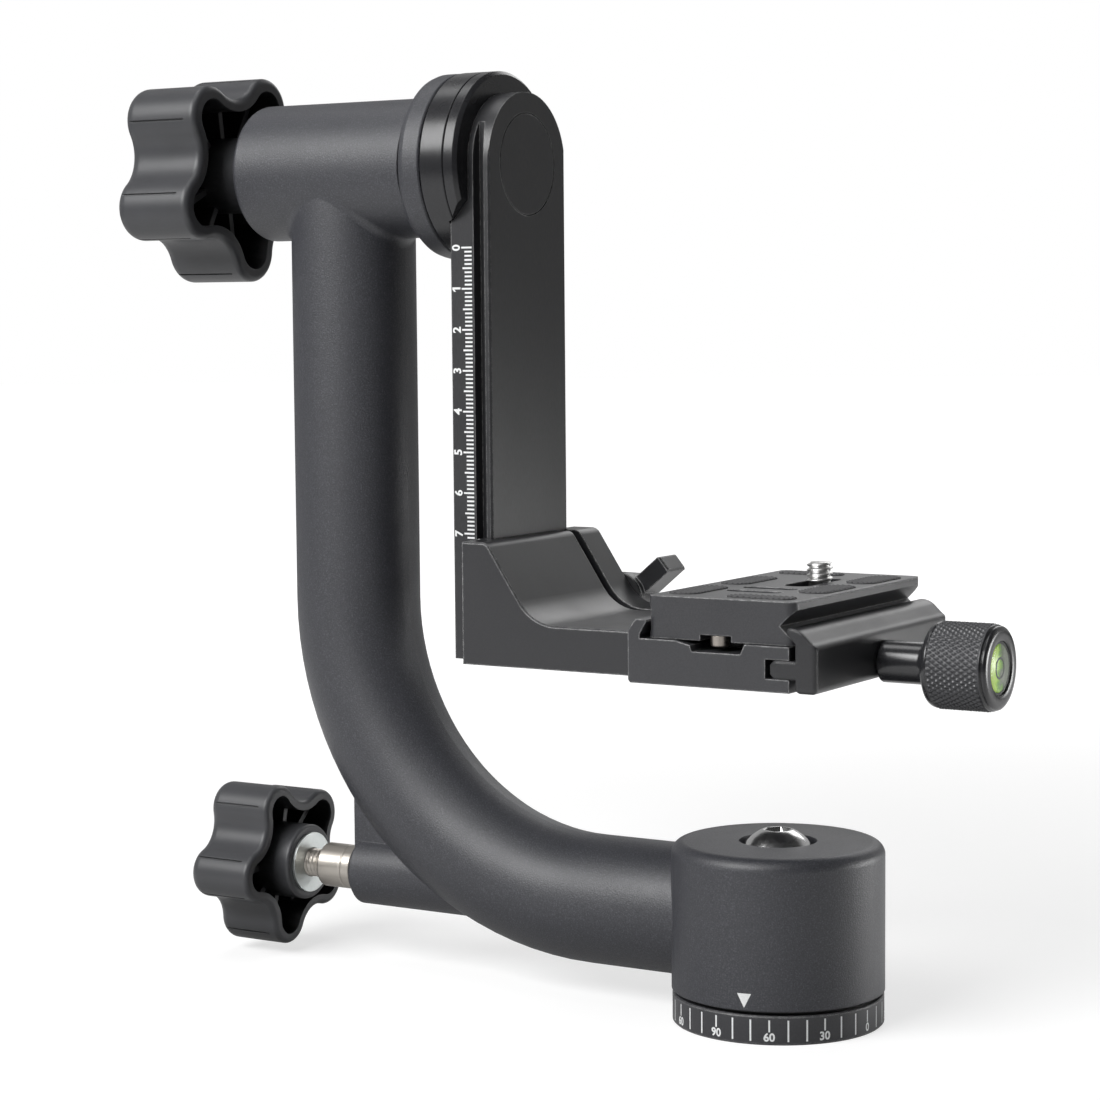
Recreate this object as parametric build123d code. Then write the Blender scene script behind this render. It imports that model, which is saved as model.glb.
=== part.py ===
from build123d import *
from math import cos, hypot, pi, radians, sin, sqrt, tan
import os

# Gimbal tripod head, millimetres, +Z up.
# Origin: the mouth of the tripod thread, in the middle of the base's underside.
# X runs along the tilt axis: the lock knobs are at -X, the clamp's knob is at +X.

# ---- driving dimensions ---------------------------------------------------------------

# panning base
BASE_R = 25.4
BASE_TOP = 6.9
HOUSING_R = 25.6
HOUSING_Z = (7.9, 43.4)
SPINDLE_R = 11.0
SPINDLE_TOP = 35.4
BUSH_WALL = 2.0
TRIPOD_HOLE_R = 4.0
TRIPOD_BUSH_R = 8.0
TRIPOD_DEPTH = 12.0
GLIDE_RING_R = (13.6, 23.6)
PAN_SCREW_R = 5.0
PAN_SCREW_HEAD_R = 8.75
PAN_SCREW_HEAD_H = 5.5
PAN_SCREW_TIP_Z = 16.0
THRUST_WASHER_R = 8.8
THRUST_WASHER_H = 1.05
COUNTERBORE_R = 9.35
COUNTERBORE_Z = 39.4

# main arm, one casting
ARM_X = -122.0
ARM_R = 16.0
ARM_BEND_R = 72.3
ARM_LOW_Z = 24.1
TILT_Z = 206.3
TOP_TUBE_R = 17.5
TOP_TUBE_X = -147.9
TOP_TUBE_EDGE = 1.4
CROTCH_R = 2.5
FLANGE_R = 23.0
FLANGE_X = (-100.2, -92.1, -86.2)
BOSS_R = 9.0
BOSS_X = -121.5
BOSS_END_X = -70.0
WEB_HALF = 4.15
WEB_TOP = ((BOSS_X, 56.0), (-108.0, 40.0))
WEB_END_X = -85.0
HOUSING_EDGE = 3.0

# clearances: a close fit, a running fit and an open gap
SNUG = 0.02
RUN = 0.05
GAP = 0.15

# lock screws: the same barrel and stud serve both knobs
LOCK_Z = 24.7
BARREL_R = 5.75
STUD_R = 3.8
ROD_R = 4.0
PAN_BUSH_R = 7.2
PAN_BUSH_X = (BOSS_X, -108.0)
PAN_BARREL_X = (-135.3, -104.0)
PAN_ROD_X = (-103.9, -19.0)
PAN_PLUG_TIP_X = -(SPINDLE_R + 0.4)
TILT_BUSH_R = 8.4
TILT_BUSH_X = (TOP_TUBE_X, -142.3)
TILT_CAVITY_R = 7.8
TILT_BARREL_X = (-150.2, -140.9)
TILT_PLUG_X = (-140.8, -137.9)

# five-lobed knobs; the tilt knob is the pan knob at a larger scale
KNOB_LOBES = 5
KNOB_LOBE_PITCH_R = 15.5
KNOB_LOBE_R = 6.7
KNOB_VALLEY_R = 7.2
KNOB_DEPTH = 19.2
KNOB_WALL = 2.6
KNOB_HUB_R = 9.9
KNOB_CROWN_EDGE = 3.0
KNOB_LIP_EDGE = 1.3
KNOB_FLOOR = 4.0
KNOB_RIB_HALF = 0.8
KNOB_RIB_SINK = 5.5
KNOB_LINE_ANGLE = 49.0
KNOB_LINE_END = 0.85
PAN_KNOB_RIM_X = -143.4
PAN_KNOB_TURN = 42.5
PAN_KNOB_BORE = 12.0
PAN_HUB_X = -139.1
PAN_KNOB_WASHER_R = 7.9
PAN_WASHER_X = (PAN_HUB_X, PAN_HUB_X + 0.8)
TILT_KNOB_RIM_X = -156.0
TILT_KNOB_TURN = 62.0
TILT_KNOB_SCALE = 1.265
TILT_KNOB_BORE = 15.0
TILT_HUB_X = -152.3
TILT_KNOB_WASHER_R = 9.0
TILT_PLUG_R = 6.5
TILT_WASHER_X = (TILT_HUB_X, TILT_HUB_X + 1.0)

# pivot: bearings, shaft, discs
BEARING_R = 14.0
BEARING_BORE_R = 7.5
BEARING_W = 7.0
BEARING_X = (-137.0, -97.5)
RACE_R = (9.6, 11.9)
SHIELD_R = (9.75, 12.1)
SHIELD_INSET = 0.6
DISC_R = 23.1
DISC_X = (-85.9, -79.05, -75.25)
SHAFT_X = (-137.4, DISC_X[1] - RUN)
PIVOT_BOLT_R = 4.0
PIVOT_BOLT_X = (-95.0, -74.6, -70.8, -70.3)
PIVOT_BOLT_HEAD_R = 7.8
CAP_R = 12.6
CAP_X = -70.2

# swing arm rail, a grooved bar with a round top about the tilt axis
RAIL_HALF = 17.7
RAIL_X = (-80.25, -69.0)
RAIL_LOW_Z = 84.56
GROOVE_X = (-73.6, -70.6)
GROOVE_DEPTH = 3.0
GROOVE_SLANT = 1.3
SHOULDER = ((-79.4, 192.4), (-75.2, 197.4))

# L bracket that runs on the rail
BRACKET_Y = (-26.5, 13.5)
BRACKET_JAW_Y = (16.9, 26.5)
BRACKET_REAR_X = -72.2
BRACKET_LOW_Z = 84.6
BRACKET_TOP_Z = 114.5
BRACKET_TOP_X = -65.2
BRACKET_FLOOR_Z = 95.2
BRACKET_SLOPE = 56.4
BRACKET_SWEEP_R = 12.0
BRACKET_BROW_R = 2.6
BRACKET_EDGE = 0.4
LEVER_X = -59.2
LEVER_Z = 96.5
LEVER_RISE = 40.0
LEVER_REACH = 15.1
LEVER_HUB_R = 6.5
LEVER_SCREW_R = 2.5
JAW_SPRING_R = 3.7
JAW_PINS = ((-63.0, 89.6), (-39.0, 90.0))
JAW_PIN_R = 1.5
JAW_PIN_Y = (5.0, 22.6)
JAW_SPRING_Y = 9.6
LEVER_SCREW_Y = (1.6, 33.0)
LEVER_WASHER_R = 6.4
LEVER_HUB_LENGTH = 10.8
LEVER_BLADE_Z = (-3.1, 1.7)

# quick release clamp
CLAMP_HALF = 35.9
CLAMP_X = (-20.4, 21.1)
CLAMP_LOW_Z = 84.5
CLAMP_FLOOR_Z = 94.9
CLAMP_LIP_Z = 99.3
SCOOP_X = (-3.6, 8.8)
SCOOP_MOUTH_X = (-8.2, 9.8)
SCOOP_DEPTH = 2.3
SCOOP_END_Y = 24.6
TONGUE_Z = (87.5, 91.9)
TONGUE_SLOT_X = 15.1
TONGUE_TIP_X = 16.4
QR_JAW_X = (22.7, 27.75)
QR_JAW_GAP = 0.92
QR_JAW_FACE_Z = 94.9
QR_AXIS_Z = 88.3
QR_SCREW_R = 2.5
QR_STEM_R = 5.0
QR_KNOB_R = 10.2
QR_KNOB_X = (38.5, 57.0)
QR_GRIP_X = (42.5, 55.0)
LEVEL_R = 6.2
QR_ROD_R = 1.25
QR_ROD_Y = 24.0
QR_ROD_X = (-5.8, 25.3)
QR_SPRING_R = 1.95
QR_SPRING_X = (9.0, 15.4)
QR_SCREW_X = (-7.0, 47.0)
CLAMP_BOLT_Y = 12.0
CLAMP_BOLT_Z = 89.9
CLAMP_BOLT_R = 2.0
CLAMP_BOLT_HEAD_R = 3.5
CLAMP_BOLT_X = (-33.8, 11.0, 14.8)

# quick release plate and camera screw
PLATE_X = (-16.3, 21.7)
PLATE_HALF = 34.5
PLATE_Z = (95.0, 104.9)
PLATE_NOTCH_Z = 99.4
PLATE_NOTCH = 3.6
PLATE_CORNER_R = 2.5
PLATE_END_FILL = (-15.3, 2.2)
PADS = (((-14.4, -6.4), (-30.0, -9.8), True), ((-14.4, -6.4), (-4.6, 15.6), True),
        ((1.6, 18.8), (-31.2, -24.6), False))
PAD_RECESS = 1.3
PAD_PROUD = 0.2
CAMERA_SCREW = (5.0, 12.5)
CAMERA_SCREW_R = 3.175
CAMERA_NECK_R = 2.6
CAMERA_SCREW_TOP = 109.6
CAMERA_SLOT_Y = (-2.0, 20.0)
CAMERA_SLOT_HALF = 3.4
STOP_X = 1.8
STOP_Y = 32.2
STOP_HEAD_R = 2.2
STOP_STEM_R = 1.4
STOP_Z = (93.7, 96.3, 100.8)


# ---- helpers --------------------------------------------------------------------------

def block(x, y, z):
    """A box between the limits (low, high) on each axis."""
    return Pos(sum(x) / 2, sum(y) / 2, sum(z) / 2) * Box(x[1] - x[0], y[1] - y[0], z[1] - z[0])


def rod_x(radius, x0, x1, y=0.0, z=0.0):
    return Pos((x0 + x1) / 2, y, z) * Rot(0, 90, 0) * Cylinder(radius, x1 - x0)


def rod_y(radius, y0, y1, x=0.0, z=0.0):
    return Pos(x, (y0 + y1) / 2, z) * Rot(90, 0, 0) * Cylinder(radius, y1 - y0)


def rod_z(radius, z0, z1, x=0.0, y=0.0):
    return Pos(x, y, (z0 + z1) / 2) * Cylinder(radius, z1 - z0)


def ring_x(outer, inner, x0, x1, y=0.0, z=0.0):
    return rod_x(outer, x0, x1, y, z) - rod_x(inner, x0 - 1, x1 + 1, y, z)


def turned_x(profile, z=0.0, y=0.0):
    """A body turned about a line along X, from its (x, radius) outline."""
    outline = Polyline([(x, y, z + r) for x, r in profile], close=True)
    return revolve(make_face(outline), Axis((0, y, z), (1, 0, 0)), 360)


def turned_y(profile):
    """A body turned about Y, from its (radius, y) outline."""
    outline = Polyline([(r, y, 0) for r, y in profile], close=True)
    return revolve(make_face(outline), Axis.Y, 360)


def turned_z(profile):
    """A body turned about Z, from its (radius, z) outline."""
    outline = Polyline([(r, 0, z) for r, z in profile], close=True)
    return revolve(make_face(outline), Axis.Z, 360)


def slab_y(points, y0, y1):
    """A prism along Y, from its (x, z) corners."""
    face = make_face(Polyline([(x, y0, z) for x, z in points], close=True))
    return extrude(face, y1 - y0, dir=(0, 1, 0))


def slab_z(points, z0, z1):
    """A prism along Z, from its (x, y) corners."""
    face = make_face(Polyline([(x, y, z0) for x, y in points], close=True))
    return extrude(face, z1 - z0, dir=(0, 0, 1))


def slot_z(x, y, z, along_y):
    """A round-ended slot cutter between the limits on each axis."""
    width = (x[1] - x[0]) if along_y else (y[1] - y[0])
    length = (y[1] - y[0]) if along_y else (x[1] - x[0])
    turn = 90 if along_y else 0
    face = Pos(sum(x) / 2, sum(y) / 2, z[0]) * Rot(0, 0, turn) * SlotOverall(length, width)
    return extrude(face, z[1] - z[0], dir=(0, 0, 1))


def mirrored_y(shape):
    return [shape, mirror(shape, Plane.XZ)]


# ---- panning base ---------------------------------------------------------------------

def base_dial():
    """Turned base: the degree ring with the spindle that the arm's housing turns on."""
    edge = 0.3
    body = turned_z([
        (0, 0), (BASE_R - edge, 0), (BASE_R, edge), (BASE_R, BASE_TOP - edge),
        (BASE_R - edge, BASE_TOP), (SPINDLE_R, BASE_TOP), (SPINDLE_R, SPINDLE_TOP - edge),
        (SPINDLE_R - edge, SPINDLE_TOP), (0, SPINDLE_TOP),
    ])
    body -= rod_z(TRIPOD_BUSH_R + RUN, -1, TRIPOD_DEPTH + 0.5)
    return body - rod_z(PAN_SCREW_R + RUN, PAN_SCREW_TIP_Z - 1, SPINDLE_TOP + 1)


def tripod_bush():
    """Steel insert with the tripod's 3/8 inch thread."""
    bush = rod_z(TRIPOD_BUSH_R, 0, TRIPOD_DEPTH)
    return bush - rod_z(TRIPOD_HOLE_R, -1, TRIPOD_DEPTH + 1)


def pan_glide_ring():
    """Plastic ring that the housing turns on."""
    inner, outer = GLIDE_RING_R
    return rod_z(outer, BASE_TOP + RUN, HOUSING_Z[0] - GAP) - rod_z(inner, 0, HOUSING_Z[1])


def pan_washer():
    low = COUNTERBORE_Z + RUN
    return rod_z(THRUST_WASHER_R, low, low + THRUST_WASHER_H) - rod_z(PAN_SCREW_R + GAP, low - 1, low + 2)


def pan_screw():
    """Button head screw with a hexagon socket; its dome stands just above the housing."""
    seat = COUNTERBORE_Z + THRUST_WASHER_H + 2 * RUN
    crown = seat + PAN_SCREW_HEAD_H
    rim = seat + 1.1
    edge_r, middle_r, crown_r = PAN_SCREW_HEAD_R, 6.8, 3.75
    socket_half, socket_depth = 3.0, 3.1
    outline = Wire([
        Line((0, 0, seat), (edge_r, 0, seat)), Line((edge_r, 0, seat), (edge_r, 0, rim)),
        ThreePointArc((edge_r, 0, rim), (middle_r, 0, seat + 4.1), (crown_r, 0, crown)),
        Line((crown_r, 0, crown), (0, 0, crown)), Line((0, 0, crown), (0, 0, seat)),
    ])
    head = revolve(Face(outline), Axis.Z, 360)
    socket = extrude(Pos(0, 0, crown - socket_depth) * RegularPolygon(socket_half, 6, major_radius=False), 4)
    return head - socket + rod_z(PAN_SCREW_R, PAN_SCREW_TIP_Z, seat + 0.1)


# ---- main arm -------------------------------------------------------------------------

def main_arm():
    """One casting: housing, swept arm, top tube with its flange, and the pan lock's boss."""
    bend_x = ARM_X + ARM_BEND_R
    bend_z = ARM_LOW_Z + ARM_BEND_R
    disc = Pos(ARM_X, 0, bend_z) * Circle(ARM_R)
    bend = revolve(disc, Axis((bend_x, 0, bend_z), (0, -1, 0)), 90)
    top_tube = rod_x(TOP_TUBE_R, TOP_TUBE_X, FLANGE_X[0] + 4, 0, TILT_Z)
    top_tube = fillet(top_tube.edges().group_by(Axis.X)[0], TOP_TUBE_EDGE)
    tubes = rod_z(ARM_R, bend_z, TILT_Z, ARM_X) + top_tube
    crotch = [e for e in tubes.edges() if e.geom_type not in (GeomType.CIRCLE, GeomType.LINE)
              and e.center().Z < TILT_Z]
    tubes = fillet(crotch, CROTCH_R)

    ellipse = Plane(origin=(FLANGE_X[0], 0, TILT_Z), x_dir=(0, 1, 0), z_dir=(1, 0, 0)) * Ellipse(
        TOP_TUBE_R - 6, TOP_TUBE_R)
    circle = Plane(origin=(FLANGE_X[1], 0, TILT_Z), x_dir=(0, 1, 0), z_dir=(1, 0, 0)) * Circle(FLANGE_R - 0.4)
    flare = loft([ellipse.face(), circle.face()])
    flange = turned_x([
        (FLANGE_X[1] - 0.01, 0), (FLANGE_X[1] - 0.01, FLANGE_R - 0.4), (FLANGE_X[1] + 1.2, FLANGE_R),
        (FLANGE_X[2] - 0.4, FLANGE_R), (FLANGE_X[2], FLANGE_R - 0.4), (FLANGE_X[2], 0),
    ], TILT_Z)

    housing = rod_z(HOUSING_R, *HOUSING_Z)
    housing = fillet(housing.edges().group_by(Axis.Z)[-1], HOUSING_EDGE)
    low_run = rod_x(ARM_R, bend_x, -5, 0, ARM_LOW_Z)
    web = slab_y([(BOSS_X, ARM_LOW_Z), *WEB_TOP, (WEB_END_X, ARM_LOW_Z)], -WEB_HALF, WEB_HALF)
    boss = turned_x([
        (BOSS_X, 0), (BOSS_X, BOSS_R - 1.5), (BOSS_X + 1.5, BOSS_R), (BOSS_END_X, BOSS_R), (BOSS_END_X, 0),
    ], LOCK_Z)

    arm = tubes + bend + low_run + housing + flare + flange + web + boss
    bush_r = SPINDLE_R + BUSH_WALL
    arm -= rod_z(bush_r, HOUSING_Z[0] - 1, SPINDLE_TOP + 0.6)
    arm -= rod_z(PAN_SCREW_R + 0.5, SPINDLE_TOP, HOUSING_Z[1] + 1)
    arm -= rod_z(COUNTERBORE_R, COUNTERBORE_Z, HOUSING_Z[1] + 1)
    arm -= rod_x(ROD_R + RUN, BOSS_X - 1, -5, 0, LOCK_Z)
    arm -= rod_x(PAN_BUSH_R + RUN, BOSS_X - 1, PAN_BUSH_X[1] + 0.2, 0, LOCK_Z)
    arm -= rod_x(BARREL_R + 0.3, BOSS_X - 1, PAN_BARREL_X[1] + 1.6, 0, LOCK_Z)
    arm -= rod_x(BEARING_R + RUN, BEARING_X[0] - 0.1, 0, 0, TILT_Z)
    arm -= rod_x(TILT_BUSH_R + RUN, TOP_TUBE_X - 1, TILT_BUSH_X[1] + 0.2, 0, TILT_Z)
    return arm - rod_x(TILT_CAVITY_R, TOP_TUBE_X, BEARING_X[0], 0, TILT_Z)


def pan_bush():
    """Acetal sleeve between spindle and housing, with a window for the lock plug."""
    sleeve = rod_z(SPINDLE_R + BUSH_WALL - RUN, HOUSING_Z[0] + 0.6, SPINDLE_TOP - 0.4)
    sleeve -= rod_z(SPINDLE_R + RUN, 0, HOUSING_Z[1])
    return sleeve - rod_x(ROD_R + 0.4, -20, -5, 0, LOCK_Z)


# ---- lock screws and knobs ------------------------------------------------------------

def lock_bush(outer, span, z):
    """Nickel-plated threaded bush with a thin collar outside the casting."""
    start, end = span
    collar, step, edge = 1.3, 0.6, 0.7
    body = turned_x([
        (start - collar, 0), (start - collar, outer - step - edge), (start - collar + edge, outer - step),
        (start, outer - step), (start, outer), (end, outer), (end, 0),
    ], z)
    return body - rod_x(BARREL_R + RUN, start - 3, end + 1, 0, z)


def lock_screw(hub_x, barrel_x, z, depth):
    """Stud that carries the knob, turned with the threaded barrel."""
    stud = rod_x(STUD_R, hub_x - depth, barrel_x[0] + 0.1, 0, z)
    edge = 0.5
    barrel = turned_x([
        (barrel_x[0], 0), (barrel_x[0], BARREL_R - edge), (barrel_x[0] + edge, BARREL_R),
        (barrel_x[1] - edge, BARREL_R), (barrel_x[1], BARREL_R - edge), (barrel_x[1], 0),
    ], z)
    return stud + barrel


def star_outline(scale, turn):
    """The knob's outline: lobes joined by tangent valleys, in the YZ plane."""
    lobe_r = KNOB_LOBE_R * scale
    valley_r = KNOB_VALLEY_R * scale
    pitch_r = KNOB_LOBE_PITCH_R * scale
    half = pi / KNOB_LOBES
    reach = (lobe_r + valley_r) ** 2 - (pitch_r * sin(half)) ** 2
    valley_pitch = pitch_r * cos(half) + sqrt(reach)
    share = lobe_r / (lobe_r + valley_r)

    def polar(radius, angle):
        return Vector(radius * cos(angle), radius * sin(angle))

    edges = []
    for lobe in range(KNOB_LOBES):
        middle = radians(turn) + 2 * half * lobe
        centre = polar(pitch_r, middle)
        before = centre + (polar(valley_pitch, middle - half) - centre) * share
        after = centre + (polar(valley_pitch, middle + half) - centre) * share
        following = polar(pitch_r, middle + 2 * half)
        arrive = following + (polar(valley_pitch, middle + half) - following) * share
        edges.append(ThreePointArc(before, polar(pitch_r + lobe_r, middle), after))
        edges.append(ThreePointArc(after, polar(valley_pitch - valley_r, middle + half), arrive))
    return make_face(edges)


def star_knob(rim_x, hub_x, z, scale, turn, bore_depth):
    """Moulded knob: rounded crown, open back with a hub, ribs to lobes and valleys."""
    depth = KNOB_DEPTH * scale ** 0.95
    wall = KNOB_WALL * scale
    outer_x = rim_x - depth
    star = star_outline(scale, turn)
    knob = extrude(Plane.YZ * star, depth)
    knob = fillet(knob.edges().group_by(Axis.X)[0], KNOB_CROWN_EDGE * scale)
    knob = fillet(knob.edges().group_by(Axis.X)[-1], KNOB_LIP_EDGE * scale)
    inside = offset(star, -wall, kind=Kind.ARC)
    floor = KNOB_FLOOR * scale
    knob -= Pos(floor, 0, 0) * extrude(Plane.YZ * inside, depth)

    hub_len = hub_x - outer_x
    knob += fillet(rod_x(KNOB_HUB_R, floor - 0.5, hub_len).edges().group_by(Axis.X)[-1], 0.9)
    valley_r = star_valley(scale)
    for step in range(2 * KNOB_LOBES):
        angle = turn + step * 180 / KNOB_LOBES
        reach = (KNOB_LOBE_PITCH_R + KNOB_LOBE_R) * scale if step % 2 == 0 else valley_r
        rib = block((floor - 0.5, depth - KNOB_RIB_SINK * scale), (KNOB_HUB_R - 1, reach - wall / 2),
                    (-KNOB_RIB_HALF, KNOB_RIB_HALF))
        knob += Rot(angle, 0, 0) * rib
    lobe_r = KNOB_LOBE_R * scale
    line = block((-1, depth * KNOB_LINE_END), (lobe_r - 0.4, lobe_r + 1), (-0.25, 0.25))
    for lobe in range(KNOB_LOBES):
        for side in (-1, 1):
            on_lobe = Pos(0, KNOB_LOBE_PITCH_R * scale, 0) * Rot(side * KNOB_LINE_ANGLE, 0, 0) * line
            knob -= Rot(turn + lobe * 360 / KNOB_LOBES, 0, 0) * on_lobe
    knob -= rod_x(STUD_R + RUN, hub_len - bore_depth - 0.2, hub_len + 1)
    return Pos(outer_x, 0, z) * knob


def star_valley(scale):
    """Distance from the knob's axis to the bottom of a valley."""
    half = pi / KNOB_LOBES
    reach = (KNOB_LOBE_R + KNOB_VALLEY_R) ** 2 - (KNOB_LOBE_PITCH_R * sin(half)) ** 2
    return (KNOB_LOBE_PITCH_R * cos(half) + sqrt(reach) - KNOB_VALLEY_R) * scale


def pan_lock_parts():
    return {
        "pan_knob": star_knob(PAN_KNOB_RIM_X, PAN_HUB_X, LOCK_Z, 1.0, PAN_KNOB_TURN, PAN_KNOB_BORE),
        "pan_knob_washer": ring_x(PAN_KNOB_WASHER_R, STUD_R + RUN, *PAN_WASHER_X, 0, LOCK_Z),
        "pan_lock_screw": lock_screw(PAN_HUB_X, PAN_BARREL_X, LOCK_Z, PAN_KNOB_BORE),
        "pan_lock_bush": lock_bush(PAN_BUSH_R, PAN_BUSH_X, LOCK_Z),
        "pan_lock_rod": rod_x(ROD_R, *PAN_ROD_X, 0, LOCK_Z),
        "pan_lock_plug": turned_x([
            (PAN_ROD_X[1] + RUN, 0), (PAN_ROD_X[1] + RUN, ROD_R), (PAN_PLUG_TIP_X - 0.8, ROD_R),
            (PAN_PLUG_TIP_X, ROD_R - 0.8), (PAN_PLUG_TIP_X, 0),
        ], LOCK_Z),
    }


def tilt_lock_parts():
    knob = star_knob(TILT_KNOB_RIM_X, TILT_HUB_X, TILT_Z, TILT_KNOB_SCALE, TILT_KNOB_TURN, TILT_KNOB_BORE)
    return {
        "tilt_knob": knob,
        "tilt_knob_washer": ring_x(TILT_KNOB_WASHER_R, STUD_R + RUN, *TILT_WASHER_X, 0, TILT_Z),
        "tilt_lock_screw": lock_screw(TILT_HUB_X, TILT_BARREL_X, TILT_Z, TILT_KNOB_BORE),
        "tilt_lock_bush": lock_bush(TILT_BUSH_R, TILT_BUSH_X, TILT_Z),
        "tilt_lock_plug": rod_x(TILT_PLUG_R, *TILT_PLUG_X, 0, TILT_Z),
    }


# ---- tilt pivot -----------------------------------------------------------------------

def bearings():
    """Two shielded ball bearings, as their outer races with shields and inner races."""
    outer = []
    inner = []
    for x in BEARING_X:
        race = ring_x(BEARING_R, RACE_R[1], x, x + BEARING_W, 0, TILT_Z)
        shield = ring_x(SHIELD_R[1], SHIELD_R[0], x + SHIELD_INSET, x + BEARING_W - SHIELD_INSET, 0, TILT_Z)
        outer.append(race + shield)
        inner.append(ring_x(RACE_R[0], BEARING_BORE_R + RUN, x, x + BEARING_W, 0, TILT_Z))
    return {"tilt_bearing_outer_races": outer, "tilt_bearing_inner_races": inner}


def bearing_spacer():
    return ring_x(BEARING_R - RUN, 12.2, BEARING_X[0] + BEARING_W + RUN, BEARING_X[1] - RUN, 0, TILT_Z)


def bearing_circlip():
    """Snap ring that keeps the bearings in the top tube."""
    x0 = BEARING_X[1] + BEARING_W + RUN
    ring = ring_x(BEARING_R, 12.0, x0, x0 + 1.1, 0, TILT_Z)
    return ring - block((x0 - 1, x0 + 3), (-3.2, 3.2), (TILT_Z - 20, TILT_Z))


def pivot_shaft():
    body = turned_x([
        (SHAFT_X[0], 0), (SHAFT_X[0], BEARING_BORE_R - 0.6), (SHAFT_X[0] + 0.6, BEARING_BORE_R),
        (SHAFT_X[1], BEARING_BORE_R), (SHAFT_X[1], 0),
    ], TILT_Z)
    return body - rod_x(PIVOT_BOLT_R + RUN, PIVOT_BOLT_X[0] - 1.5, SHAFT_X[1] + 1, 0, TILT_Z)


def shoulder_cut(inset):
    """Everything below the line where the rail's back plate meets the pivot discs."""
    (x0, z0), (x1, z1) = SHOULDER
    back = RAIL_X[0] - GAP
    slope = (z1 - z0) / (x1 - x0)
    foot = z0 - slope * (x0 - back) / 4
    return slab_y([
        (back, 150), (back, foot + inset), (x0, z0 + inset), (x1 + 1, z1 + slope + inset), (x1 + 1, 150),
    ], -30, 30)


def friction_disc():
    """Black disc between the casting's flange and the pivot hub."""
    edge = 0.4
    disc = turned_x([
        (DISC_X[0], 0), (DISC_X[0], DISC_R - edge), (DISC_X[0] + edge, DISC_R),
        (DISC_X[1] - 0.2, DISC_R), (DISC_X[1], DISC_R - 0.2), (DISC_X[1], 0),
    ], TILT_Z)
    disc -= rod_x(BEARING_BORE_R + RUN, -100, -60, 0, TILT_Z)
    return disc - shoulder_cut(RUN)


def pivot_hub():
    """Disc that the rail's thin top seats on, cut to the shoulder of the back plate."""
    hub = turned_x([
        (DISC_X[1] + RUN, 0), (DISC_X[1] + RUN, DISC_R - 0.3), (DISC_X[1] + RUN + 0.3, DISC_R),
        (DISC_X[2] - 0.9, DISC_R), (DISC_X[2], DISC_R - 0.9), (DISC_X[2], 0),
    ], TILT_Z)
    hub -= rod_x(PIVOT_BOLT_R + RUN, -100, -60, 0, TILT_Z)
    return hub - shoulder_cut(RUN)


def pivot_bolt():
    """Countersunk bolt that pulls rail and hub onto the shaft, under the cap."""
    tip, neck, rim, face = PIVOT_BOLT_X
    return turned_x([
        (tip, 0), (tip, PIVOT_BOLT_R), (neck, PIVOT_BOLT_R), (rim, PIVOT_BOLT_HEAD_R),
        (face, PIVOT_BOLT_HEAD_R), (face, 0),
    ], TILT_Z)


def axis_cap():
    """Thin disc that closes the rail's counterbore flush with its face."""
    edge = 0.25
    return turned_x([
        (CAP_X, 0), (CAP_X, CAP_R), (RAIL_X[1] - edge, CAP_R), (RAIL_X[1], CAP_R - edge), (RAIL_X[1], 0),
    ], TILT_Z)


# ---- swing arm rail -------------------------------------------------------------------

def rail_section():
    """Half of the rail's XY section on one side, mirrored into the whole outline."""
    floor = RAIL_HALF - GROOVE_DEPTH
    edge = 0.5
    side = [
        (RAIL_X[0], RAIL_HALF), (GROOVE_X[0], RAIL_HALF), (GROOVE_X[0], floor),
        (GROOVE_X[1] - GROOVE_SLANT, floor), (GROOVE_X[1], RAIL_HALF),
        (RAIL_X[1] - edge, RAIL_HALF), (RAIL_X[1], RAIL_HALF - edge),
    ]
    return side + [(x, -y) for x, y in reversed(side)]


def swing_rail():
    """Grooved bar with a round top, thinned above the shoulder to seat on the hub."""
    top = TILT_Z + RAIL_HALF
    bar = slab_z(rail_section(), RAIL_LOW_Z, top)
    outline = block((-90, -60), (-RAIL_HALF, RAIL_HALF), (RAIL_LOW_Z, TILT_Z))
    outline += rod_x(RAIL_HALF, -90, -60, 0, TILT_Z)
    bar &= outline
    (x0, z0), (x1, z1) = SHOULDER
    foot = z0 - (z1 - z0) / (x1 - x0) * (x0 - RAIL_X[0]) / 4
    bar -= slab_y([
        (RAIL_X[0] - 1, foot), (RAIL_X[0], foot), (x0, z0), (x1, z1), (x1, top + 1), (RAIL_X[0] - 1, top + 1),
    ], -30, 30)
    bar -= rod_x(CAP_R + RUN, CAP_X - RUN, -60, 0, TILT_Z)
    neck, rim = PIVOT_BOLT_X[1:3]
    seat_r = PIVOT_BOLT_R + RUN
    rim_r = PIVOT_BOLT_HEAD_R + RUN
    back, front = RAIL_X[0] - 5, RAIL_X[1] + 5
    return bar - turned_x([
        (back, 0), (back, seat_r), (neck, seat_r), (rim, rim_r), (front, rim_r), (front, 0),
    ], TILT_Z)


# ---- L bracket ------------------------------------------------------------------------

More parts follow.
